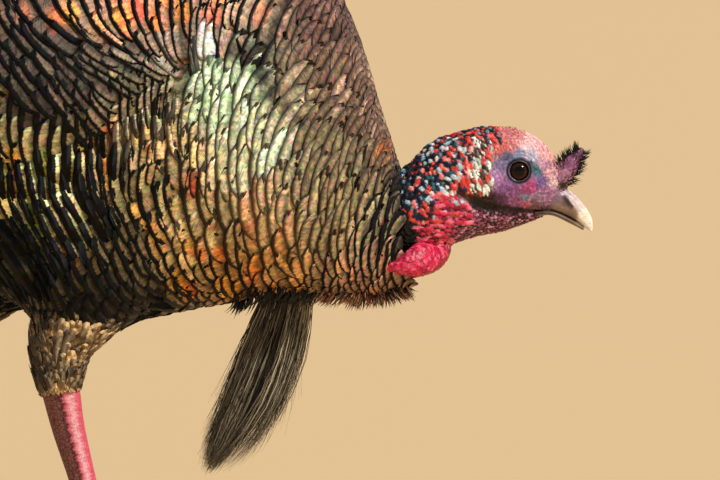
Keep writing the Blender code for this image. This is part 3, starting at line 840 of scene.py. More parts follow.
def leg_skin(side):
    """One closed skin for the shank, the ball of the foot and the toes, without creases where they meet."""
    x, y = LEGS[side]["shank"][-1][:2]
    ball = np.array([
        (x, y, z, 12.5 * share) for z, share in ((0.6, 0.8), (4, 0.98), (8, 1), (12, 0.8), (15, 0.5))
    ])
    parts = [rounded(tube(LEGS[side]["shank"], 50, 24, 0.8, side)), path_rings(ball, 24, 1, side)]
    share = np.linspace(0, 1, 25)
    for heading, length, radius in TOES.values():
        size = radius * (1 - 0.42 * share) * (1 + 0.07 * np.cos(share * 3 * math.tau))
        size[-1] *= 0.8
        toe = toe_line(side, heading, length * share + 2 * share, size * 0.93, size)
        parts.append(rounded(path_rings(toe, 16)))
    starts = np.cumsum([0] + [rings.size // 3 for rings in parts])
    faces = [group for rings, start in zip(parts, starts) for group in tube_faces(*rings.shape[:2], start)]
    leg = shell("leg", np.concatenate([rings.reshape(-1, 3) for rings in parts]), faces)
    remesh = leg.modifiers.new("one", "REMESH")
    remesh.mode = "VOXEL"
    remesh.voxel_size = 1.2
    soften = leg.modifiers.new("soft", "SMOOTH")
    soften.factor = 0.5
    soften.iterations = 6
    settle(leg)
    return leg


def shell(name, corners, faces):
    """A bare object in mm, for joining to the skin."""
    return add_object(name, new_mesh(name, corners, faces))


def tube_shell(name, rings):
    return shell(name, rings.reshape(-1, 3), tube_faces(*rings.shape[:2]))


def settle(piece):
    """Replaces the mesh by what its modifiers make of it."""
    made = bpy.data.meshes.new_from_object(piece.evaluated_get(bpy.context.evaluated_depsgraph_get()))
    piece.modifiers.clear()
    piece.data = made


# ---------------------------------------------------------------- skin

def body_and_head():
    """The skin of the head, neck and body as one tube, from the bill to the tail, in mm."""
    count, half = 240, 120
    turns = np.linspace(-math.pi, math.pi, count, endpoint=False)
    front = head(*net(np.linspace(8.0, 0.55, 175), turns))
    stations = np.linspace(0.3, 10.9, 105)
    places = net(stations, turns[::2])
    depth = np.interp(stations, (0.3, 1.5, 3, 11), (3.2, 4.2, 6, 6))[:, None, None]
    rear = bare_body(*places) - directions(bare_body, *places)[2] * depth
    bridge = [front[-1, ::2] * (1 - t) + rear[0] * t for t in (0.33, 0.67)]
    rear = np.concatenate([np.array(bridge), rear])
    start = len(front) * count
    last = start - count
    end = start + (len(rear) - 1) * half
    j = np.arange(half)
    # the fine rings of the head meet the coarser ones of the body in a row of five-sided faces
    seam = np.stack([
        last + 2 * j, last + 2 * j + 1, last + (2 * j + 2) % count, start + (j + 1) % half, start + j,
    ], -1)
    faces = [
        grid_faces(len(front), count, True), seam, grid_faces(len(rear), half, True, start),
        np.arange(count)[None, ::-1], (end + j)[None, :],
    ]
    return shell("skin", np.concatenate([front.reshape(-1, 3), rear.reshape(-1, 3)]), faces)


def blend_colours(points, places):
    """A colour for each point, blended from places given as x, z, reach and a hex colour."""
    return nearness(points, places, 0.05, 2.5) @ np.array([linear(place[3]) for place in places])


# The skin's colours seen from the side: x, z, reach (mm) and colour. The head is patched pink, violet and
# blue-grey, the throat is maroon, the wattle crimson and the legs dull pink.
SKIN_TONES = [
    # the palest pink on top of the crown is partly painted highlight, where the light falls on the head
    (329, 322.5, 6, "#D87C7C"), (343, 319, 5.5, "#EEB0B0"), (322, 318, 6, "#D9655C"),
    (353.5, 312, 5, "#E8A0A0"), (336, 325.5, 4, "#D87A70"), (343, 312, 4, "#C8B4C6"),
    (336, 310, 2.6, "#8890B4"), (330, 307, 2.6, "#747EA2"), (345, 307, 2.6, "#AEB6CE"),
    (321.5, 302, 3.6, "#86769C"), (318, 297, 3.6, "#B48CBC"), (320, 291, 3.6, "#AC78AE"),
    (326, 308.5, 2.8, "#565A74"), (325.5, 286, 4, "#8E5C94"), (330.5, 281, 4, "#8C5480"),
    (322, 278.5, 4, "#582C46"), (334.5, 277, 3.4, "#9A547A"), (343, 287, 3.2, "#BC5086"),
    (340, 284, 2.6, "#AA4676"), (346.5, 300, 2.2, "#245E60"), (349, 297, 2.2, "#4C748C"),
    (343.5, 304.5, 1.6, "#16262F"), (353.5, 302, 4, "#C08AA4"), (357, 297, 3.4, "#E4A8A8"),
    (352, 291, 3.4, "#80629E"), (355.5, 284, 3.4, "#A87498"), (348.5, 279, 2.8, "#9A7890"),
    (358.5, 290, 2.8, "#EAC4C2"), (339, 279, 2.8, "#74869A"), (358.5, 308, 3.4, "#E8A496"),
    (362, 304, 3, "#B87C80"), (339.5, 275, 2.8, "#B05064"), (346.5, 274.5, 2.8, "#80525A"),
    # the near-black tones along the jaw, down to the one at x 350, are painted shade in its groove, where
    # dark bristles also grow
    (316.5, 277, 3.6, "#341A22"), (308, 280.5, 4.2, "#26120E"), (301, 275, 3, "#120806"),
    (315, 272, 2.4, "#100606"), (325.5, 270.2, 2.4, "#120808"), (336, 269.5, 2.1, "#1A0C0C"),
    (350, 268.8, 2.1, "#221212"), (301, 262, 5.5, "#642436"), (322, 262, 5.5, "#5A2640"),
    (339.5, 264.5, 4, "#64364C"), (287, 255, 4.2, "#8A2440"), (294, 266, 3.6, "#742434"),
    (309.5, 302, 5.5, "#B4AC9C"), (304.5, 312, 4.2, "#A8A898"), (311.5, 288, 3.6, "#AC9C8C"),
    (263, 240, 12, "#D8163E"), (281, 246, 6, "#D23058"), (275, 262, 8, "#CE2440"), (290, 272, 5, "#B41C38"),
    (372, 302, 5, "#8E5476"), (366, 294, 4, "#B88098"), (377, 309, 4, "#5A2C44"),
    (366, 289, 2.5, "#1C0E10"), (275, 296, 14, "#40283A"), (286, 318, 8, "#4A1C22"),
]
# Bumps of the bare skin, in the order they are looked for: the area (x from, x to, z from, z to), how far
# apart they stand, radius, height, how much longer than wide, the direction they run (x, z), the colour of
# the clefts between them, dark skin deepened by painted shade, and the colours they have, each with its
# share.
BUMPS = [
    # the neck below the wattle is near-black: dark skin in part, and painted shade under the wattle and the
    # collar's rim in part
    ("neck below", (238, 265, 215, 268), 3.0, 1.6, 1.2, 1.5, (0.4, -1), "#030303",
     [("#08090C", 0.8), ("#101A2C", 0.2)]),
    ("wattle", (236, 286, 215, 250), 1.8, 1.1, 0.55, 1.7, (1, -0.5), "#82102C",
     [("#E02450", 0.55), ("#F2587A", 0.3), ("#C01A44", 0.15)]),
    ("nape low", (262, 276, 262, 278), 3.0, 1.6, 1.5, 1.6, (0.5, -1), "#04060B",
     [("#E85040", 0.36), ("#EE8278", 0.1), ("#C2DCE6", 0.14), ("#101C40", 0.4)]),
    ("folds", (265, 288, 215, 264), 2.9, 1.6, 1.3, 2.4, (1, -0.45), "#46040E",
     [("#D42C56", 0.5), ("#EE6A84", 0.3), ("#EE5448", 0.05), ("#A01038", 0.15)]),
    ("folds above", (276, 299, 262, 281), 2.9, 1.6, 1.4, 3.0, (1, -0.3), "#46040E",
     [("#D42C56", 0.46), ("#EE6A84", 0.26), ("#E85040", 0.12), ("#8A1234", 0.16)]),
    ("throat", (285, 352, 245, 271), 2.1, 1.05, 0.75, 1.3, (1, -0.6), "#260A14",
     [("#A05474", 0.42), ("#7A3254", 0.3), ("#CC90B0", 0.28)]),
    ("back of neck", (245, 266, 268, 325), 3.0, 1.6, 1.4, 1.6, (0.4, -1), "#04060B",
     [("#0C1428", 0.42), ("#10303E", 0.18), ("#E04444", 0.15), ("#9CC4DC", 0.17), ("#F0948C", 0.08)]),
    ("nape", (266, 292, 276, 321), 2.9, 1.5, 1.5, 1.8, (0.5, -1), "#04060B",
     [("#E8483E", 0.2), ("#EE8278", 0.1), ("#C2DCE6", 0.16), ("#2C5C66", 0.14), ("#101C40", 0.32),
      ("#F0D8D0", 0.08)]),
    ("crown edge", (280, 322, 318, 335), 2.7, 1.35, 1.1, 2.0, (0.7, -1), "#0A0507",
     [("#D82C30", 0.36), ("#16262F", 0.36), ("#E8605C", 0.14), ("#6E9AA4", 0.14)]),
    ("streaks", (292, 300, 276, 321), 2.6, 1.3, 1.2, 2.8, (0.15, -1), "#140707",
     [("#D83A30", 0.4), ("#EC9088", 0.22), ("#C8DCDC", 0.2), ("#14283C", 0.18)]),
    ("ear", (300, 314, 283, 321), 2.4, 1.15, 0.95, 2.9, (0.45, -1), "#1A100C",
     [("#ECEEE0", 0.38), ("#A9BFB2", 0.2), ("#D8504A", 0.22), ("#50382E", 0.2)]),
    ("jaw", (292, 315, 268, 284), 2.6, 1.25, 0.7, 2.6, (1, -0.5), "#0C0503",
     [("#1E0E0C", 0.6), ("#5A2426", 0.28), ("#846058", 0.12)]),
]
FACE_EDGE = [
    (262, 318), (272, 318), (280, 314), (288, 313.5), (304.5, 316), (318, 318.5), (326, 320.5), (340, 321),
]


def lid(side):
    """The rim of the eyelids, a fleshy ring that touches the ball of the eye all round."""
    rows, around = 140, 16
    turn = np.linspace(0, math.tau, rows, endpoint=False)[:, None]
    cross = np.linspace(0, math.tau, around, endpoint=False)
    reach = 7.15 + 0.25 * np.cos(turn) ** 2 + 0.12 * np.sin(9 * turn) * np.sin(cross)
    thick = 1.2 + 0.15 * np.sin(turn)
    out = reach + thick * np.cos(cross)
    x = EYE_CENTRE[0] + out * np.cos(turn)
    y = (15.95 + thick * np.sin(cross) - 0.05 * (out - 7) * np.cos(turn) ** 2) * side
    z = EYE_CENTRE[2] + out * np.sin(turn) * 0.97
    rings = np.stack([x, y, z], -1)[:, ::side]
    i, j = net(np.arange(rows), np.arange(around))
    here, there, k = i * around, (i + 1) % rows * around, (j + 1) % around
    strip = np.stack([here + j, here + k, there + k, there + j], -1).reshape(-1, 4)
    return shell("lid", rings.reshape(-1, 3), [strip])


def ragged(points):
    """The place along the body with a wavy shift, so that the areas of bumps have no straight borders."""
    return points[:, 0] + 1.5 * np.sin(points[:, 2] * 1.1) + np.sin(points[:, 2] * 2.7)


def bump_seeds():
    """Places of all the skin's bumps with their sizes, directions and colours."""
    seeds = []
    skin_points = head(*net(np.linspace(0.4, 8.2, 300), np.linspace(-math.pi, math.pi, 260))).reshape(-1, 3)
    lobes = [tube(WATTLE, 120, 120, 1.55)] + [tube(LOBE, 120, 120, 0.75, side) for side in SIDES]
    lobes = np.concatenate(lobes).reshape(-1, 3)
    for name, (x0, x1, z0, z1), *traits in BUMPS:
        pool = lobes if name == "wattle" else skin_points
        x, z = ragged(pool), pool[:, 2]
        seeds += spread_seeds(pool[(x > x0) & (x <= x1) & (z > z0) & (z <= z1)], *traits)
    face = skin_points[ragged(skin_points) > np.interp(skin_points[:, 2], *zip(*FACE_EDGE)) - 1.5]
    face = face[face[:, 2] > np.interp(face[:, 0], (298, 313, 353), (277, 270, 266))]
    seeds += spread_seeds(face, 1.9, 1.05, 0.28, 1.3, (1, 0.4), None, [(None, 1.0)])
    snood = tube(SNOOD, 60, 60).reshape(-1, 3)
    return seeds + spread_seeds(snood, 1.8, 1.0, 0.3, 1.8, (0.4, 1), None, [(None, 1.0)])


def spread_seeds(pool, apart, radius, height, longer, run, cleft, colours):
    """Picks points of a surface at least so far apart, in random order."""
    chosen, cells = [], {}
    steps = [(dx, dy, dz) for dx in (-1, 0, 1) for dy in (-1, 0, 1) for dz in (-1, 0, 1)]
    for point in pool[rng.permutation(len(pool))]:
        x, y, z = point
        i, j, k = (point // apart).astype(int)
        near = [q for di, dj, dk in steps for q in cells.get((i + di, j + dj, k + dk), ())]
        if all((x - qx) ** 2 + (y - qy) ** 2 + (z - qz) ** 2 > apart**2 for qx, qy, qz in near):
            cells.setdefault((i, j, k), []).append((x, y, z))
            chosen.append(point)
    shares = np.cumsum([share for _, share in colours])
    made = []
    for point in chosen:
        pick = colours[int(np.searchsorted(shares, rng.random() * shares[-1]))][0]
        size = rng.uniform(0.62, 1.3)
        turn = math.atan2(run[1], run[0]) + rng.normal(0, 0.35)
        way = (math.cos(turn), 0, math.sin(turn))
        made.append((point, radius * size, height * size, longer, way, cleft, pick, rng.uniform(0.65, 1.25)))
    return made


def raise_bumps(points):
    """How high the nearest bump stands at each point, and its colour there."""
    seeds = bump_seeds()
    tree = KDTree(len(seeds))
    for i, seed in enumerate(seeds):
        tree.insert(seed[0], i)
    tree.balance()
    centres, radius, high, longer, run = (np.array(part) for part in list(zip(*seeds))[:5])
    plain = blend_colours(centres, SKIN_TONES)
    tops = np.array([
        (own if seed[6] is None else linear(seed[6])) * seed[7] for own, seed in zip(plain, seeds)
    ])
    # where no cleft colour is given, the cleft is the bump's own colour darkened as painted shade
    clefts = np.array([own * 0.8 if seed[5] is None else linear(seed[5]) for own, seed in zip(plain, seeds)])
    near = np.array([[hit[1] for hit in tree.find_n(point, 6)] for point in points])
    gap = points[:, None] - centres[near]
    along = (gap * run[near]).sum(-1)
    reach = along**2 / longer[near] ** 2 + (gap**2).sum(-1) - along**2
    dome = np.sqrt(np.maximum(1 - reach / radius[near] ** 2, 0)) ** 0.8
    raised = dome * high[near]
    best = (np.arange(len(points)), raised.argmax(1))
    # each bump grows a little lighter towards its top, a painted highlight, and fades at its foot into its
    # cleft's colour
    covered = column(np.clip(dome[best] * 1.6, 0, 1))
    pick = near[best]
    return raised[best], clefts[pick] * (1 - covered) + tops[pick] * (0.75 + 0.35 * covered) * covered


# The folds over and under the eye: distance from its middle, width, height, direction and half span
# in degrees.
EYE_FOLDS = [
    (9.7, 0.8, 0.8, 85, 75), (12.0, 0.9, 0.8, 80, 60), (14.4, 1.0, 0.6, 75, 50), (9.8, 0.8, 0.55, -80, 80),
    (12.3, 1.0, 0.4, -95, 55), (10.4, 0.9, 0.6, 180, 40),
]
# The rings of colour round the eye: distance, width, colour and strength.
EYE_RINGS = [
    (6.0, 0.8, "#040303", 1.0), (7.05, 0.35, "#6A6272", 0.85), (8.2, 0.95, "#060405", 1.0),
    (9.7, 0.6, "#5C6890", 0.5),
]


def fold_round_eye(points, height, tint):
    """The skin stays off the ball of the eye, and folds curve over and under it."""
    x, z = points[:, 0] - EYE_CENTRE[0], points[:, 2] - EYE_CENTRE[2]
    reach, turn = np.hypot(x, z), np.degrees(np.arctan2(z, x))
    beside = np.abs(points[:, 1]) > 8
    height = np.where(beside, height * np.clip((reach - 8.5) / 4, 0, 1), height)
    for radius, width, high, middle, span in EYE_FOLDS:
        off = np.abs((turn - middle + 180) % 360 - 180) / span
        fold = high * np.exp(-(((reach - radius) / width) ** 2)) * np.clip(1.3 - off**2 * 1.3, 0, 1)
        height = height + beside * fold
    height = np.where(beside & (reach < 6.6), -1.3 * np.clip((6.6 - reach) / 0.5, 0, 1), height)
    for radius, width, tone, amount in EYE_RINGS:
        tint = blend(tint, tone, column(beside * amount * np.exp(-(((reach - radius) / width) ** 4))))
    return height, np.where(column(beside & (reach < 6.2)), linear("#050303"), tint)


def fold_under_jaw(points, height, tint):
    """The fold under the jaw, from behind the ear to the corner of the bill."""
    x = points[:, 0]
    level = np.interp(x, (292, 300, 308, 315, 325, 340, 356), (283, 278.6, 275, 272.4, 270.6, 269.2, 268.2))
    wide = np.interp(x, (292, 300, 310, 325, 356), (2.6, 3.8, 3.8, 2.6, 1.5))
    inside = (x > 291) & (x < 359) & (np.abs(points[:, 1]) > 5)
    fold = inside * np.exp(-(((points[:, 2] - level) / wide) ** 4))
    # the fold is sunk and painted near-black, as painted shade in its crease
    return height * (1 - fold) - 1.1 * fold, blend(tint, "#0E0606", 0.93 * column(fold))


def dress_skin(points, normals):
    """Raises the bumps, folds and clefts of the bare skin, and gives each point its colour."""
    tint = blend_colours(points, SKIN_TONES)
    # under the feathers the skin has the plumage's own tones, darkened as painted shade, so that no gap glows
    # through
    under = (points[:, 0] < 236) & (points[:, 2] > 150)
    tint[under] = 0.45 * plumage_at(points[under])[0]
    bare = (points[:, 0] > 243) & (points[:, 2] > 215)
    skin = points[bare]
    height, hue = raise_bumps(skin)
    crinkle = patches(skin * (1, 1, 0.8), 1.3)
    hue = hue * column(np.clip(1 + 0.28 * crinkle + 0.22 * patches(skin + 40, 0.8), 0.35, 1.8))
    height, hue = fold_round_eye(skin, height + 0.22 * crinkle, hue)
    height, tint[bare] = fold_under_jaw(skin, height, hue)
    points = points.copy()
    points[bare] += normals[bare] * column(height - 0.35)
    return points, np.concatenate([tint, column(paint_legs(points, tint))], 1)


def paint_legs(points, tint):
    """Colours the legs in place, and returns how scaly each point is: smooth pink plates in front, small
    maroon scales behind, and a dark groove between them."""
    scaly = np.zeros(len(points))
    for side in SIDES:
        shank = np.array(LEGS[side]["shank"], float)
        low = (points[:, 1] * side > 20) & (points[:, 2] < 168) & (points[:, 0] < 150)
        x, z = points[low, 0], points[low, 2]
        middle, radius = (np.interp(-z, -shank[:, 2], shank[:, k]) for k in (0, 3))
        front = column((x - middle) / radius + 0.06 * np.sin(z * 0.9) + 0.05 * np.sin(z * 2.3 + 1))
        # the pale band down the front plates is partly paler scutes and partly a painted highlight
        plates_and_highlight = blend("#DC566C", "#F6B4BE", np.exp(-(((front - 0.45) / 0.22) ** 2)))
        smooth_part = np.clip((front + 0.02) / 0.10, 0, 1)
        made = blend("#8C5250", plates_and_highlight, smooth_part)
        made = blend(made, "#240E0C", 0.85 * np.exp(-(((front + 0.06) / 0.09) ** 2)))
        foot = column(np.clip((24 - z) / 10, 0, 1))
        tint[low] = blend(made, "#B0605E", foot)
        scaly[low] = np.maximum(1 - 0.8 * smooth_part, 0.8 * foot)[:, 0]
    return scaly


def bare_skin():
    """Bare head skin: thin, moist flesh over blood and fat, so it is softly shiny with light in it, and
    finely pitted. On the legs it is dry horny scales, with dark creases between them."""
    made, add, shader = new_material(
        "skin_flesh_moist", IOR=1.42, Subsurface_Weight=0.1, Subsurface_Radius=(1.0, 0.35, 0.25),
        Subsurface_Scale=0.0012,
    )
    tint = add("Attribute", attribute_name="tint")
    place = add("TexCoord").outputs["Object"]
    # the pits are 1.25 mm apart and the scales 2.5 mm across
    pores = add("TexNoise", place, Scale=1 / (1.25 * MM), Detail=3)
    cells = add("TexVoronoi", place, Scale=1 / (2.5 * MM), feature="DISTANCE_TO_EDGE")
    plate = add("MapRange", cells, From_Max=0.16, To_Min=0.25)
    scale = add("Mix", tint.outputs["Alpha"], 1, plate)
    strength = add("Math MULTIPLY", add("MapRange", pores, 0.3, 0.7, 0.66, 1.22), scale)
    plug(
        shader, Base_Color=add("VectorMath SCALE", tint, strength),
        Roughness=add("MapRange", pores, To_Min=0.3, To_Max=0.5),
        Normal=add("Bump", Height=strength, Strength=0.4, Distance=0.0003),
    )
    return made


def build_skin():
    """One skin from the bill to the tail and down to the toes, with its bumps and colours."""
    skin = body_and_head()
    others = [leg_skin(side) for side in SIDES]
    for side in SIDES:
        others += [tube_shell("thigh", tube(LEGS[side]["thigh"], 40, 40, 0.9, side, 3.5)), lid(side)]
    others.append(tube_shell("snood", rounded(tube(SNOOD, 50, 48))))
    others.append(tube_shell("wattle", rounded(tube(WATTLE, 60, 100, 1.55))))
    others += [tube_shell("lobe", rounded(tube(LOBE, 60, 80, 0.75, side))) for side in SIDES]
    for other in others:
        union = skin.modifiers.new("union", "BOOLEAN")
        union.operation = "UNION"
        union.solver = "MANIFOLD"
        union.object = other
    settle(skin)
    mesh = skin.data
    points = read(mesh.vertices, "co", 3).astype(float)
    normals = read(mesh.vertex_normals, "vector", 3).astype(float)
    points, tint = dress_skin(points, normals)
    fill(mesh.vertices, "co", to_frame(points))
    mesh.update()
    mesh.shade_smooth()
    paint(skin, "tint", tint)
    mesh.materials.clear()
    mesh.materials.append(bare_skin())
    for other in others:
        bpy.data.objects.remove(other)
    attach(skin, "root")
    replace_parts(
        skin, "trunk", "neck", "head", "bare_neck", "snood", "wattle",
        *(f"{part}_{name}" for part in ("thigh", "shank", "foot") for name in SIDES.values()),
    )


build_skin()


# ---------------------------------------------------------------- bill, eyes, claws, spurs

# Each half of the bill: its rings, how many rows they are drawn with, and its colours seen from the side,
# from horn grey and violet at the root to cream at the tip.
BILL = {
    "bill_upper": ({
        "root": (361, 291, 355, 281, 350, 270.5, 9.2),
        "cere": (369, 284.8, 363.5, 276.5, 359, 268.7, 8.2),
        "nostril": (375.8, 279.2, 371, 272.5, 366.5, 266.2, 6.6),
        "blade": (382.8, 270.8, 379, 266.2, 375.5, 261.8, 4.6),
        "hook": (386.5, 263, 384.5, 260, 382.3, 257, 2.4),
        "tip": (386.8, 256.5, 386.4, 255.6, 385.8, 254.6, 0.7),
    }, 110, [
        (350, 275, 4, "#7A5E6A"), (356, 288, 5, "#8E7488"), (363, 287, 3, "#C4AAB4"),
        (362, 280, 3, "#806674"), (369, 283, 2.6, "#B8A4AA"), (368, 275.5, 2.4, "#6E5654"),
        (363, 270.5, 3, "#9C8478"), (373, 278, 2.6, "#D4BEBE"), (378, 273.5, 3.0, "#E4D0C8"),
        (373, 268, 3, "#94786C"), (381, 267, 3.4, "#FFF0DC"), (386, 259, 5, "#FFF8EA"),
    ]),
    "bill_lower": ({
        "root": (346, 271, 346, 268.4, 345, 265.8, 8.4),
        "middle": (359, 270, 359, 268, 358, 266.2, 7.2),
        "blade": (371, 264.5, 371, 262.6, 370.5, 260.8, 4.8),
        "tip": (381, 258, 380.6, 257, 380.2, 255.8, 1.5),
    }, 80, [
        (346, 268, 6, "#3E2A26"), (357, 268, 5, "#544038"), (368, 264, 4, "#66503F"),
        (379, 258, 4, "#8C765C"),
    ]),
}
NOSTRIL, NOSTRIL_RUN = np.array([367.2, 279.2]), np.array([5.0, -6.4])


def painted(name, **sockets):
    """A material whose colour is the one painted on the piece."""
    made, add, shader = new_material(name, **sockets)
    plug(shader, Base_Color=add("Attribute", attribute_name="tint"))
    return made


def bill_horn():
    """Bill horn: dense keratin worn to a satin gloss, with fine lengthwise grain and small scuffs."""
    made, add, shader = new_material("bill_keratin_worn", Roughness=0.38, IOR=1.55)
    # the grain runs along the bill, about 4 mm long and 1 mm wide
    place = add("Mapping", add("TexCoord").outputs["Object"], Rotation=(0, 0.9, 0), Scale=(1, 3, 5))
    grain = add("TexNoise", place, Scale=260, Detail=4)
    tone = add("MapRange", grain, 0.3, 0.7, 0.72, 1.18)
    plug(
        shader, Base_Color=add("VectorMath SCALE", add("Attribute", attribute_name="tint"), tone),
        Normal=add("Bump", Height=grain, Strength=0.3, Distance=0.0003),
    )
    return made


def nostril(points, normal):
    """A slanting slit under a raised flap, on both sides: how deep and how raised each point is, 0 to 1."""
    place = points[..., [0, 2]] - NOSTRIL
    share = np.clip((place @ NOSTRIL_RUN) / (NOSTRIL_RUN @ NOSTRIL_RUN), 0, 1)
    miss = place - share[..., None] * NOSTRIL_RUN
    across = (miss @ np.array([-NOSTRIL_RUN[1], NOSTRIL_RUN[0]])) / np.linalg.norm(NOSTRIL_RUN)
    side_on = np.abs(normal[..., 1]) > 0.35
    deep = side_on * np.exp(-((np.linalg.norm(miss, axis=-1) / 1.3) ** 2))
    flap = side_on * np.exp(-(((across - 1.8) / 1.2) ** 2)) * np.exp(-((share - 0.5) / 0.5) ** 4)
    return deep, flap


def build_bill():
    """The two halves of the bill, the upper one with its nostrils."""
    look = bill_horn()
    for name, (rings, rows, tones) in BILL.items():
        turns = np.linspace(-math.pi, math.pi, 96, endpoint=False)
        station, turn = net(np.linspace(0, len(rings) - 1, rows), turns)
        surface = functools.partial(ring_points, rings)
        points, normal = surface(station, turn), directions(surface, station, turn)[2]
        deep, flap = nostril(points, normal) if name == "bill_upper" else (0 * turn, 0 * turn)
        points = points + normal * (0.55 * flap - 1.5 * deep)[..., None]
        tint = blend_colours(points.reshape(-1, 3), tones)
        # painted shade: dark along the cutting edges, in the crease where the two halves meet, and near black
        # in the nostrils
        level = np.cos(turn) if name == "bill_upper" else -np.cos(turn)
        rim = np.clip((-level - 0.7) / 0.15, 0, 1) * np.clip((station.max() - 0.9 - station) / 1.2, 0, 1)
        tint = tint * column(1 - 0.85 * rim) * column(1 - 0.95 * deep)
        piece = make_tube(f"{name}_horn", points[:, ::-1], look, "horn")
        paint(piece, "tint", tint.reshape(rows, -1, 3)[:, ::-1].reshape(-1, 3))
        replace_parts(piece, name)


def wet_eye():
    """A bird's eye: clear wet cornea over a dark brown iris and a black pupil, mirror smooth."""
    return painted("eye_cornea_wet", Roughness=0.05, IOR=1.38, Specular_IOR_Level=0.35)


def build_eyes():
    """Each eyeball: a dark brown iris round a black pupil, under a cornea that bulges a little."""
    look = wet_eye()
    p, t = net(np.linspace(0.02, math.pi - 0.02, 64), np.linspace(0, math.tau, 72, endpoint=False))
    radius = EYE_RADIUS - 0.1 + 0.5 * np.exp(-((p / 0.45) ** 2))
    from_axis = np.sin(p) * EYE_RADIUS
    streaks = 0.5 + 0.5 * np.sin(t * 23 + 3 * np.sin(t * 5)) * np.sin(from_axis * 2.2)
    iris = linear("#28100A") * 0.7 + linear("#44200F") * 0.5 * streaks[..., None]
    ring = np.clip((from_axis - 3.3) / 0.4, 0, 1) * np.clip((5.9 - from_axis) / 0.5, 0, 1)
    tint = blend("#080504", iris, ring[..., None])
    for side, name in SIDES.items():
        ball = np.stack([np.sin(p) * np.cos(t), np.cos(p) * side, np.sin(p) * np.sin(t)], -1)
        points = EYE_CENTRE * (1, side, 1) + ball * radius[..., None]
        piece = make_tube(f"eyeball_{name}", points[:, ::-side], look, "eye")
        paint(piece, "tint", tint[:, ::-side].reshape(-1, 3))
        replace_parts(piece, f"eye_{name}")


def claw_horn():
    """Claws and spurs: solid horn, dark brown and polished by use, with a grain of about 2 mm."""
    made, add, shader = new_material("claw_horn_polished", Roughness=0.3, IOR=1.55)
    grain = add("TexNoise", add("TexCoord").outputs["Object"], Scale=1 / (2 * MM), Detail=3)
    tone = add("MapRange", grain, 0.3, 0.7, 0.75, 1.2)
    plug(shader, Base_Color=add("VectorMath SCALE", add("Attribute", attribute_name="tint"), tone))
    return made


def build_claws():
    """A claw that carries on from each toe, and a spur behind each shank."""
    look = claw_horn()
    share = np.linspace(0, 1, 24)
    for side, side_name in SIDES.items():
        size = CLAW_RADIUS * (1 - 0.72 * share)
        height = np.maximum(4.6 - 3.6 * share**1.5, size * 1.02)
        for name, (heading, length, _) in TOES.items():
            rows = toe_line(side, heading, length - 3 + (CLAW_LENGTH + 1) * share, height, size)
            build_claw(f"claw_{name}_{side_name}", rows, look, "#2A1D16", "#8A7460")
        shank = np.array(LEGS[side]["shank"], float)
        x, y, z, radius = spline(shank, np.interp(-SPUR_HEIGHT, -shank[:, 2], range(len(shank))))
        back = radius * 0.4 + (SPUR_LENGTH + 0.1 * radius) * share
        rows = np.stack([
            x - back, (y - 4 * share) * side, z - 2 + 5 * share**2, SPUR_RADIUS * (1 - 0.85 * share),
        ], -1)
        build_claw(f"spur_{side_name}", rows, look, "#4A3A34", "#20140E")


def build_claw(node, rows, look, root_colour, tip_colour):
    rings = rounded(path_rings(rows, 20))
    piece = make_tube(f"{node}_horn", rings, look, "claw")
    tint = blend(root_colour, tip_colour, np.linspace(0, 1, len(rings))[:, None, None])
    paint(piece, "tint", np.broadcast_to(tint, rings.shape).reshape(-1, 3))
    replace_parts(piece, node)


# ---------------------------------------------------------------- bristles

def bristle_horn():
    """Beard and head bristles: coarse hair-like keratin, dull along its length."""
    return painted("bristle_keratin_coarse", Roughness=0.5, IOR=1.55)


BRISTLE = bristle_horn()


def bristle_piece(name, roots, tips, sag, radius, tint, slot, root_map, parts=4, fade=0.0, crimp=0.0):
    """Closed tapering bristles from root to tip (mm), bending by the sag given for each, crimped by up to the
    crimp, and fading towards the tip."""
    count, sides = len(roots), 3
    share = np.linspace(0, 1, parts + 1)[None, :, None]
    centre = roots[:, None] * (1 - share) + tips[:, None] * share + sag[:, None] * (share * (1 - share) * 4)
    if crimp:
        centre = centre + rng.normal(0, crimp, centre.shape) * np.minimum(share * 4, 1)
    ahead = unit(tips - roots)
    across = unit(np.cross(ahead, np.array([0.31, 0.85, 0.42])))
    deep = np.cross(ahead, across)
    turn = np.linspace(0, math.tau, sides, endpoint=False)[:, None]
    ring = across[:, None, None] * np.cos(turn) + deep[:, None, None] * np.sin(turn)
    points = centre[:, :, None] + ring * (radius[:, None, None] * (1 - 0.9 * share**1.5))[..., None]
    per = (parts + 1) * sides
    shift = (np.arange(count) * per)[:, None, None]
    ends = np.array([np.arange(sides)[::-1], per - sides + np.arange(sides)])
    faces = [(grid_faces(parts + 1, sides, True) + shift).reshape(-1, 4), (ends + shift).reshape(-1, sides)]
    piece = make_piece(name, points.reshape(-1, 3), faces, BRISTLE, slot)
    along = np.tile(np.repeat(share[0, :, 0], sides), count)
    paint(piece, "tint", np.repeat(tint, per, 0) * (1 - fade * column(along) ** 2))
    round_it = np.tile(np.linspace(-0.5, 0.5, sides), count * (parts + 1))
    lay_map(piece, "OFBake", np.repeat(root_map, per, 0) + PATCH * np.stack([along - 0.5, round_it], -1))
    return piece


def path_at(path, share, deep, across):
    """Points beside a path, at shares of its length and of its radius."""
    at = share * (len(path) - 1)
    after = np.minimum(at + 0.01, len(path) - 1)
    centre, radius = np.split(spline(path, at), [3], 1)
    ahead = unit((spline(path, after) - spline(path, after - 0.02))[:, :3])
    forward = np.stack([-ahead[:, 2], 0 * at, ahead[:, 0]], -1)
    return centre + forward * radius * column(deep) + ACROSS * (radius * column(across) * 0.42)


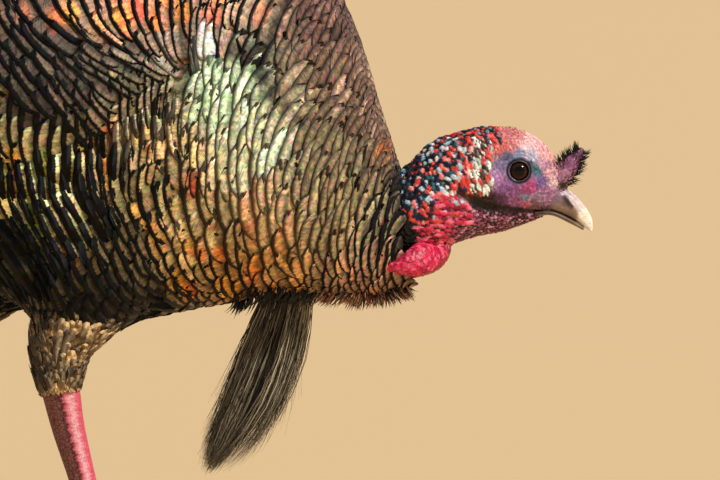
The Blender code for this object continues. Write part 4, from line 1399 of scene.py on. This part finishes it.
def build_beard():
    """The beard: coarse bristles in clumps from a small patch on the breast, hanging back, with loose
    ends."""
    count, clumps = 1900, 80
    which = rng.integers(0, clumps, count)
    turn = rng.uniform(0, math.tau, clumps)[which]
    spread = np.sqrt(rng.uniform(0, 1, clumps))[which]
    stray = rng.normal(0, 0.09, (2, count))
    side_shift = np.clip(spread * np.cos(turn) + stray[0], -1, 1)
    deep_shift = np.clip(spread * np.sin(turn) + stray[1], -1, 1)
    reach = np.clip(rng.normal(0.84, 0.09, clumps)[which] + rng.normal(0, 0.06, count), 0.4, 0.99)
    # the front ones are shorter and lift away
    reach = np.where(deep_shift > 0.35, reach * rng.uniform(0.55, 0.95, count), reach)
    roots = path_at(BEARD, np.zeros(count), deep_shift * 0.95, side_shift * 0.8)
    middles = path_at(BEARD, reach * 0.5, deep_shift * 0.82 + 0.05, side_shift * 0.95)
    tips = path_at(BEARD, reach, deep_shift * 1.05, side_shift * 1.1)
    tips += rng.normal(0, 2.0, (count, 3)) + np.array([3.0, 0, 0]) * column(np.clip(deep_shift, 0, 1))
    sag = middles - (roots + tips) / 2 + rng.normal(0, 1.5, (count, 3))
    sag += rng.normal(0, 1.7, (clumps, 3))[which]
    # the two pale tones are partly the bristles' own tan and partly painted highlight along them
    tones = np.array([linear(tone) for tone in ("#17130F", "#6A604E", "#B0A488", "#E0D6BA")])
    tint = tones[np.searchsorted((0.36, 0.66, 0.9), rng.random(count), side="right")]
    root_map = np.stack([0.5 + 0.45 * side_shift, 0.5 + 0.45 * deep_shift], -1)
    radius = rng.uniform(0.24, 0.46, count)
    beard = bristle_piece(
        "beard_bristles", roots, tips, sag, radius, tint, "beard", root_map, parts=16, fade=0.55, crimp=0.34,
    )
    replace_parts(beard, "beard")


def surface_bristles(name, point, spots, length, radius, lean, tint, slot):
    """Bristles standing on a surface at spots of station and angle. The lean, against a normal of 1, is how
    far they point forward, how much more so with each station, and how far up."""
    station, angle = spots.T
    roots = point(station, angle)
    normal = directions(point, station, angle)[2]
    lean = np.stack([lean[0] + lean[1] * station, 0 * station, lean[2] + 0 * station], -1)
    ahead = unit(normal + lean + rng.normal(0, 0.25, roots.shape))
    reach = length * rng.uniform(0.6, 1.25, len(roots))
    colours = np.broadcast_to(linear(tint), roots.shape) * rng.uniform(0.5, 1.6, (len(roots), 1))
    sag = (normal - ahead) * column(reach * 0.12)
    bristle_piece(
        f"bristles_{name}", roots - normal * 0.8, roots + ahead * column(reach), sag,
        np.full(len(roots), radius), colours, slot, np.stack([station / 12, angle / 8 + 0.5], -1),
    )


def snood_point(station, angle):
    centre, radius = np.split(spline(SNOOD, station), [3], -1)
    ahead = unit((spline(SNOOD, station + 0.01) - spline(SNOOD, station - 0.01))[..., :3])
    deep = np.stack([ahead[..., 2], 0 * station, -ahead[..., 0]], -1)
    return centre + (deep * np.cos(angle)[..., None] + ACROSS * np.sin(angle)[..., None]) * radius


# Hair-like bristles on each side: dense where the neck meets the collar, black and thick enough to stand also
# as painted shade under the collar's rim, a few along the jaw and in front of the eye, and a fringe under the
# breast and throat.
# Each has its surface, its areas (count, station from and to, angle from and to), length, radius, lean,
# colour and slot.
SIDE_BRISTLES = {
    "collar": (
        head, [(760, 0.75, 1.35, 0.3, 2.7), (160, 1.3, 1.7, 0.4, 2.2)],
        12, 0.32, (-1.1, 0, -0.45), "#0C0D10", "plumage",
    ),
    "jaw": (
        head, [(160, 2.3, 4.2, 1.75, 2.2), (70, 3.2, 5.6, 2.15, 2.4), (60, 6.1, 7.2, 0.5, 1.6)],
        3.4, 0.12, (-0.8, 0, -0.3), "#140D0B", "face",
    ),
    "breast": (
        body, [(150, 2.5, 3.6, 2.75, math.pi)], 10, 0.7, (-0.9, 0, -0.5), "#0A0908", "plumage",
    ),
}
for tone, hue in (("dark", "#14100E"), ("rufous", "#8E4A34"), ("pale", "#A89878")):
    SIDE_BRISTLES[f"throat_{tone}"] = (
        body, [(70, 0.0, 2.5, 2.7, math.pi)], 8, 0.7, (0.9, -0.9, -0.3), hue, "plumage",
    )


def scatter(areas):
    """Random spots of station and angle in each area."""
    return np.concatenate([
        np.stack([rng.uniform(low, high, count), rng.uniform(first, last, count)], -1)
        for count, low, high, first, last in areas
    ])


def build_head_bristles():
    ridge = scatter([(300, 0.5, 3.95, 0, 1)])
    ridge[:, 1] = rng.choice((0, math.pi), 300) + rng.normal(0, 0.55, 300)
    surface_bristles("snood", snood_point, ridge, 6.0, 0.42, (0.2, 0, 0.7), "#0C0808", "face")
    crown = scatter([(420, 0.7, 3.9, -1.35, 1.35), (90, 3.9, 5.2, -0.7, 0.7)])
    surface_bristles("crown", head, crown, 5.0, 0.16, (-0.7, 0, 0.3), "#120C0A", "face")
    for side, side_name in SIDES.items():
        for name, (point, areas, *traits) in SIDE_BRISTLES.items():
            surface_bristles(f"{name}_{side_name}", point, scatter(areas) * (1, side), *traits)


# ---------------------------------------------------------------- flight and tail feathers, thighs

# The tail's outline: x, z, half width, thickness and droop at each station.
TAIL_STATIONS = np.array([
    (-375, 359, 44, 8, 8), (-400, 353.5, 55, 8, 12), (-440, 345, 62, 6, 15), (-490, 334.5, 67, 4.4, 17),
    (-540, 324, 71, 3.4, 18), (-580, 316, 72, 2.8, 18), (-600, 312, 70, 2.2, 17), (-605, 311, 67, 1.4, 16),
], float)
TAIL_ROUNDING = 34


def long_vane(name, spine, half, normal, look, slot, camber=0.6):
    """One long feather as a closed vane round a spine of points (mm), with a raised shaft."""
    rows, columns, thick = 60, 16, 0.5
    middle = spline(spine, np.linspace(0, len(spine) - 1, rows))
    ahead = unit(np.gradient(middle, axis=0))
    up = np.array(normal, float)
    up = unit(up - ahead * (ahead @ up)[:, None])
    u = np.linspace(-1, 1, columns + 1)
    width = spline(column(half), np.linspace(0, len(half) - 1, rows))
    flat = middle[:, None] + np.cross(up, ahead)[:, None] * (u[:, None] * width[:, None])
    shaft = 0.5 * np.exp(-((u * width / 1.1) ** 2)) * np.linspace(1, 0.25, rows)[:, None]
    arch = camber * u**2 * width * 0.1
    top = flat + up[:, None] * (shaft - arch)[..., None]
    bottom = flat - up[:, None] * (thick * (1 - u**4) + arch)[..., None]
    ring = np.concatenate([top, bottom[:, -2:0:-1]], 1)
    piece = make_tube(name, ring[:, ::-1], look, slot)
    own_u = np.concatenate([u, u[-2:0:-1]]) * 0.5 + 0.5
    length = np.concatenate([[0], np.cumsum(np.linalg.norm(np.diff(middle, axis=0), axis=1))])
    own = np.meshgrid(own_u[::-1], (length[-1] - length) * VANE_SCALE)
    lay_map(piece, "vane", np.stack(own, -1).reshape(-1, 2))
    return piece


def quill_vane(name, dark, pale, spacing, tip, tip_colour, band=0.0):
    """A flight or tail quill's vane: stiff keratin with a dull gloss, barred across in the species' browns.
    The spacing of the bars, the tip and the black band before it are in mm."""
    made, add, shader = new_material(name, Roughness=0.55, IOR=1.55)
    across, up, _ = add("SeparateXYZ", add("UVMap", uv_map="vane")).outputs
    from_tip = add("Math MULTIPLY", up, 1 / VANE_SCALE)
    # the bars waver over about 9 mm
    wander = add("TexNoise", add("TexCoord").outputs["Object"], Scale=110, Detail=4)
    level = add("Math ADD", from_tip, add("Math MULTIPLY", wander, spacing * 2.4))
    wave = add("Math SINE", add("Math MULTIPLY", level, math.tau / spacing))
    bars = add("MapRange", wave, -0.25, 0.25, interpolation_type="SMOOTHSTEP")
    barred = add("Mix", bars, colour(dark), colour(pale), data_type="RGBA")
    end = tip + spacing * 1.2
    behind = barred
    if band:
        inner = add("MapRange", level, end + band - 1.5, end + band + 1.5)
        behind = add("Mix", inner, colour("#15100D"), barred, data_type="RGBA")
    inside = add("MapRange", level, end - 1.5, end + 1.5)
    tipped = add("Mix", inside, colour(tip_colour), behind, data_type="RGBA")
    off_shaft = add("Math ABSOLUTE", add("Math SUBTRACT", across, 0.5))
    shaft = add("MapRange", off_shaft, 0.012, 0.022)
    # barbs are drawn 1.2 mm apart, coarser than the real ones, so that they show
    barb = add("Math ADD", from_tip, add("Math MULTIPLY", off_shaft, 34))
    comb = add("Math SINE", add("Math MULTIPLY", barb, math.tau / 1.2))
    plug(
        shader, Base_Color=add("Mix", shaft, colour("#5A4636"), tipped, data_type="RGBA"),
        Normal=add("Bump", Height=comb, Strength=0.3, Distance=0.0002),
    )
    return made


def build_tail():
    """Eighteen tail feathers, closed like a fan laid together, the middle pair on top."""
    look = quill_vane("tail_keratin_barred", "#2C1B10", "#A26A3E", 5.5, 11, "#C08450", band=19)
    place = np.linspace(0, len(TAIL_STATIONS) - 1, 10)
    x, z, half, thick, droop = spline(TAIL_STATIONS, place).T
    half_width = [9, 14, 16.5, 17.5, 18, 17.5, 15.5, 11.5, 6.5]
    for k in range(9):
        for side, name in SIDES.items():
            across = (k + 0.35) / 9.3
            layer = 1.8 - 3.4 * across - 0.12 * (side == LEFT)
            spine = np.stack([
                x + TAIL_ROUNDING * across**2 * (place / 7) ** 3, half * across * 0.78 * side,
                z - droop * across**2 * 0.8 + layer * np.clip(thick / 3, 0.5, 1.2),
            ], -1)
            tilt = (0.10, side * across * 0.28, 1)
            quill = long_vane(f"tail_quill_{k + 1}_{name}", spine, half_width, tilt, look, "tail")
            if (k, side) == (0, RIGHT):
                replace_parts(quill, "tail")


def build_wing_quills(side, look):
    """Secondaries and primaries of the folded wing, showing behind and below the wing's coverts."""
    for k in range(9):
        share = k / 8
        station = np.linspace(5.9 + 0.15 * k, 8.35 + 0.13 * k, 9)
        angle = np.radians(np.linspace(93 - 11 * share, 116 - 26 * share, 9)) * side
        points, normals = BODY.look(station, angle, "points", "normals")
        spine = points + normals * column(np.linspace(-2.0, 2.2, 9) + 0.7 * share)
        half_width = [6, 8, 9, 10, 10.5, 10.5, 10, 8, 3.5]
        name = f"wing_quill_{k + 1}_{SIDES[side]}"
        long_vane(name, spine, half_width, normals[5], look, "wing", camber=1.2)


def thigh_point(side):
    path = np.array(LEGS[side]["thigh"] + LEGS[side]["shank"][1:3], float)

    def point(station, angle):
        centre, radius = np.split(spline(path, station), [3], -1)
        e = 1e-3
        ahead = (spline(path, station + e) - spline(path, station - e))[..., :3] * (1, side, 1)
        across, deep = cross_frame(unit(ahead))
        ring = deep * np.cos(angle)[..., None] + across * np.sin(angle)[..., None] * 0.9
        return centre * (1, side, 1) + ring * radius

    return point


def build_thigh_coat(side, look):
    """Small soft feathers down the thigh, ending in a ragged edge over the bare shank."""
    chart = Chart(thigh_point(side), 0.3, 6.4, per_station=10, angles=60, reach=math.pi * 1.3)
    found = []
    station, row = 2.1, 0
    while station < 5.35:
        rates = chart.look(np.array([station]), np.array([0.0]), "along", "around")
        along, around = (np.linalg.norm(rate) for rate in rates)
        gap = np.interp(station, (2.1, 5.3), (3.4, 2.2))
        width = 1.3 * gap
        count = max(int(round(math.tau * around / width)), 6)
        for j in range(count):
            angle = (j + 0.5 * (row % 2)) / count * math.tau - math.pi + rng.normal(0, 0.03)
            found.append((station + rng.normal(0, 0.03), angle, 0, 0, -1, gap, width))
        station += gap / along
        row += 1
    tips = np.array(found)
    place, along = chart.look(tips[:, 0], tips[:, 1], "points", "along")
    tips[:, 2:5] = unit(along)
    count = len(tips)
    wobble = rng.normal(0, 1, (4, count))
    gap = tips[:, 5]
    points, faces, own, root = grow_vanes(
        chart, tips, (2.6 * gap + 3) * (1 + 0.1 * wobble[1]), 0.75 * tips[:, 6], -0.1 + 0.3 * wobble[0],
        0.35 * gap + 0.4, 0.5, 0.5, 1.8, shape=(6, 6), tilt=0.14 * wobble[2],
    )
    piece = make_piece(f"feathers_thigh_{SIDES[side]}", points, faces, look, "thigh")
    tint = 1.8 * blend("#4A3420", "#FFD496", column(rng.random(count)))
    # painted shade: darker behind, away from the light, and in front and at the top, where the flank shades
    # it; darker also towards the lowest tips
    x, z = place[:, 0], place[:, 2]
    middle = np.array(LEGS[side]["thigh"])
    behind = np.clip((np.interp(-z, -middle[:, 2], middle[:, 0]) - x) / 18, 0, 1)
    ahead = np.clip((x - np.interp(z, (180, 215), (36, 30))) / 8, 0, 1) * (z > 186)
    low, high = np.clip((z - 150) / 14, 0.45, 1), np.clip((206 - z) / 16, 0.3, 1.25)
    tint = tint * column((1 - 0.65 * behind) * (1 - 0.7 * ahead) * low * high)
    traits = np.stack([0.05 + 0.1 * rng.random(count), rng.random(count), 0 * gap], -1)
    per_vane = len(points) // count
    finish_coat(piece, np.repeat(tint, per_vane, 0), np.repeat(traits, per_vane, 0), own, root)


def soft_feather():
    """Thigh feathers: soft loose vanes without sheen, brown with a buff edge and dusky mottling."""
    made, add, shader = new_material("feather_keratin_soft", Roughness=0.75, IOR=1.55)
    place = add("UVMap", uv_map="vane")
    # the mottling is about 4.5 mm long
    mottle = add("Math MULTIPLY", add("TexNoise", place, Scale=22, Detail=3), 0.03)
    reach = add("Math ADD", add("SeparateXYZ", place).outputs["Y"], mottle)
    tone = add("MapRange", reach, 0.012, 0.045, 1.25, 0.35)
    plug(shader, Base_Color=add("VectorMath SCALE", add("Attribute", attribute_name="tint"), tone))
    return made


def build_wings_and_thighs():
    barred = quill_vane("wing_quill_keratin", "#2E2823", "#958A78", 8.0, 3, "#5A4E42")
    soft = soft_feather()
    for side in SIDES:
        build_wing_quills(side, barred)
        build_thigh_coat(side, soft)


build_tail()
build_wings_and_thighs()
build_bill()
build_eyes()
build_claws()
build_beard()
build_head_bristles()


# ---------------------------------------------------------------- stage

def add_light(name, toward, strength, softness, tint):
    """A distant soft lamp: the direction it stands in, its strength and its apparent size in degrees."""
    data = bpy.data.lights.new(name, "SUN")
    data.energy = strength
    data.angle = math.radians(softness)
    data.color = linear(tint)
    add_object(name, data).rotation_euler = Vector(toward).to_track_quat("Z", "Y").to_euler()


def floor_paint():
    """Floor paint, rolled on matt: a plain pale sand without shine."""
    return new_material("floor_paint_matt", Roughness=0.9, Base_Color=colour("#D8B888"))[0]


def build_stage():
    """A plain pale floor under soft studio light."""
    reach = 60
    corners = np.array([(-reach, -reach, 0), (reach, -reach, 0), (reach, reach, 0), (-reach, reach, 0)])
    floor = add_object("floor", new_mesh("floor", corners, [np.array([(0, 1, 2, 3)])]))
    floor.data.shade_flat()
    floor.data.materials.append(floor_paint())
    world = bpy.data.worlds.new("studio")
    bpy.context.scene.world = world
    world.use_nodes = True
    plug(world.node_tree.nodes["Background"], Color=colour("#DDE6F2"), Strength=0.36)
    add_light("key", (0.62, -0.55, 0.80), 3.3, 6, "#FFF8EE")
    add_light("rim", (0.35, 0.75, 0.55), 0.7, 20, "#FFF6E8")


def set_camera():
    """At the height of the bird's back, 3 degrees above level, framing the neck, head and breast."""
    rise, away, frame_width = math.radians(3), 6.0, 0.504
    data = bpy.data.cameras.new("camera")
    data.sensor_width = 36
    data.lens = data.sensor_width * away / frame_width
    camera = add_object("camera", data)
    back = Vector((0, -math.cos(rise), math.sin(rise)))
    camera.location = Vector((SHIFT + 0.224, 0, 0.249)) + back * away
    camera.rotation_euler = (-back).to_track_quat("-Z", "Y").to_euler()
    bpy.context.scene.camera = camera


build_stage()
set_camera()
bpy.context.scene.view_settings.view_transform = "Standard"
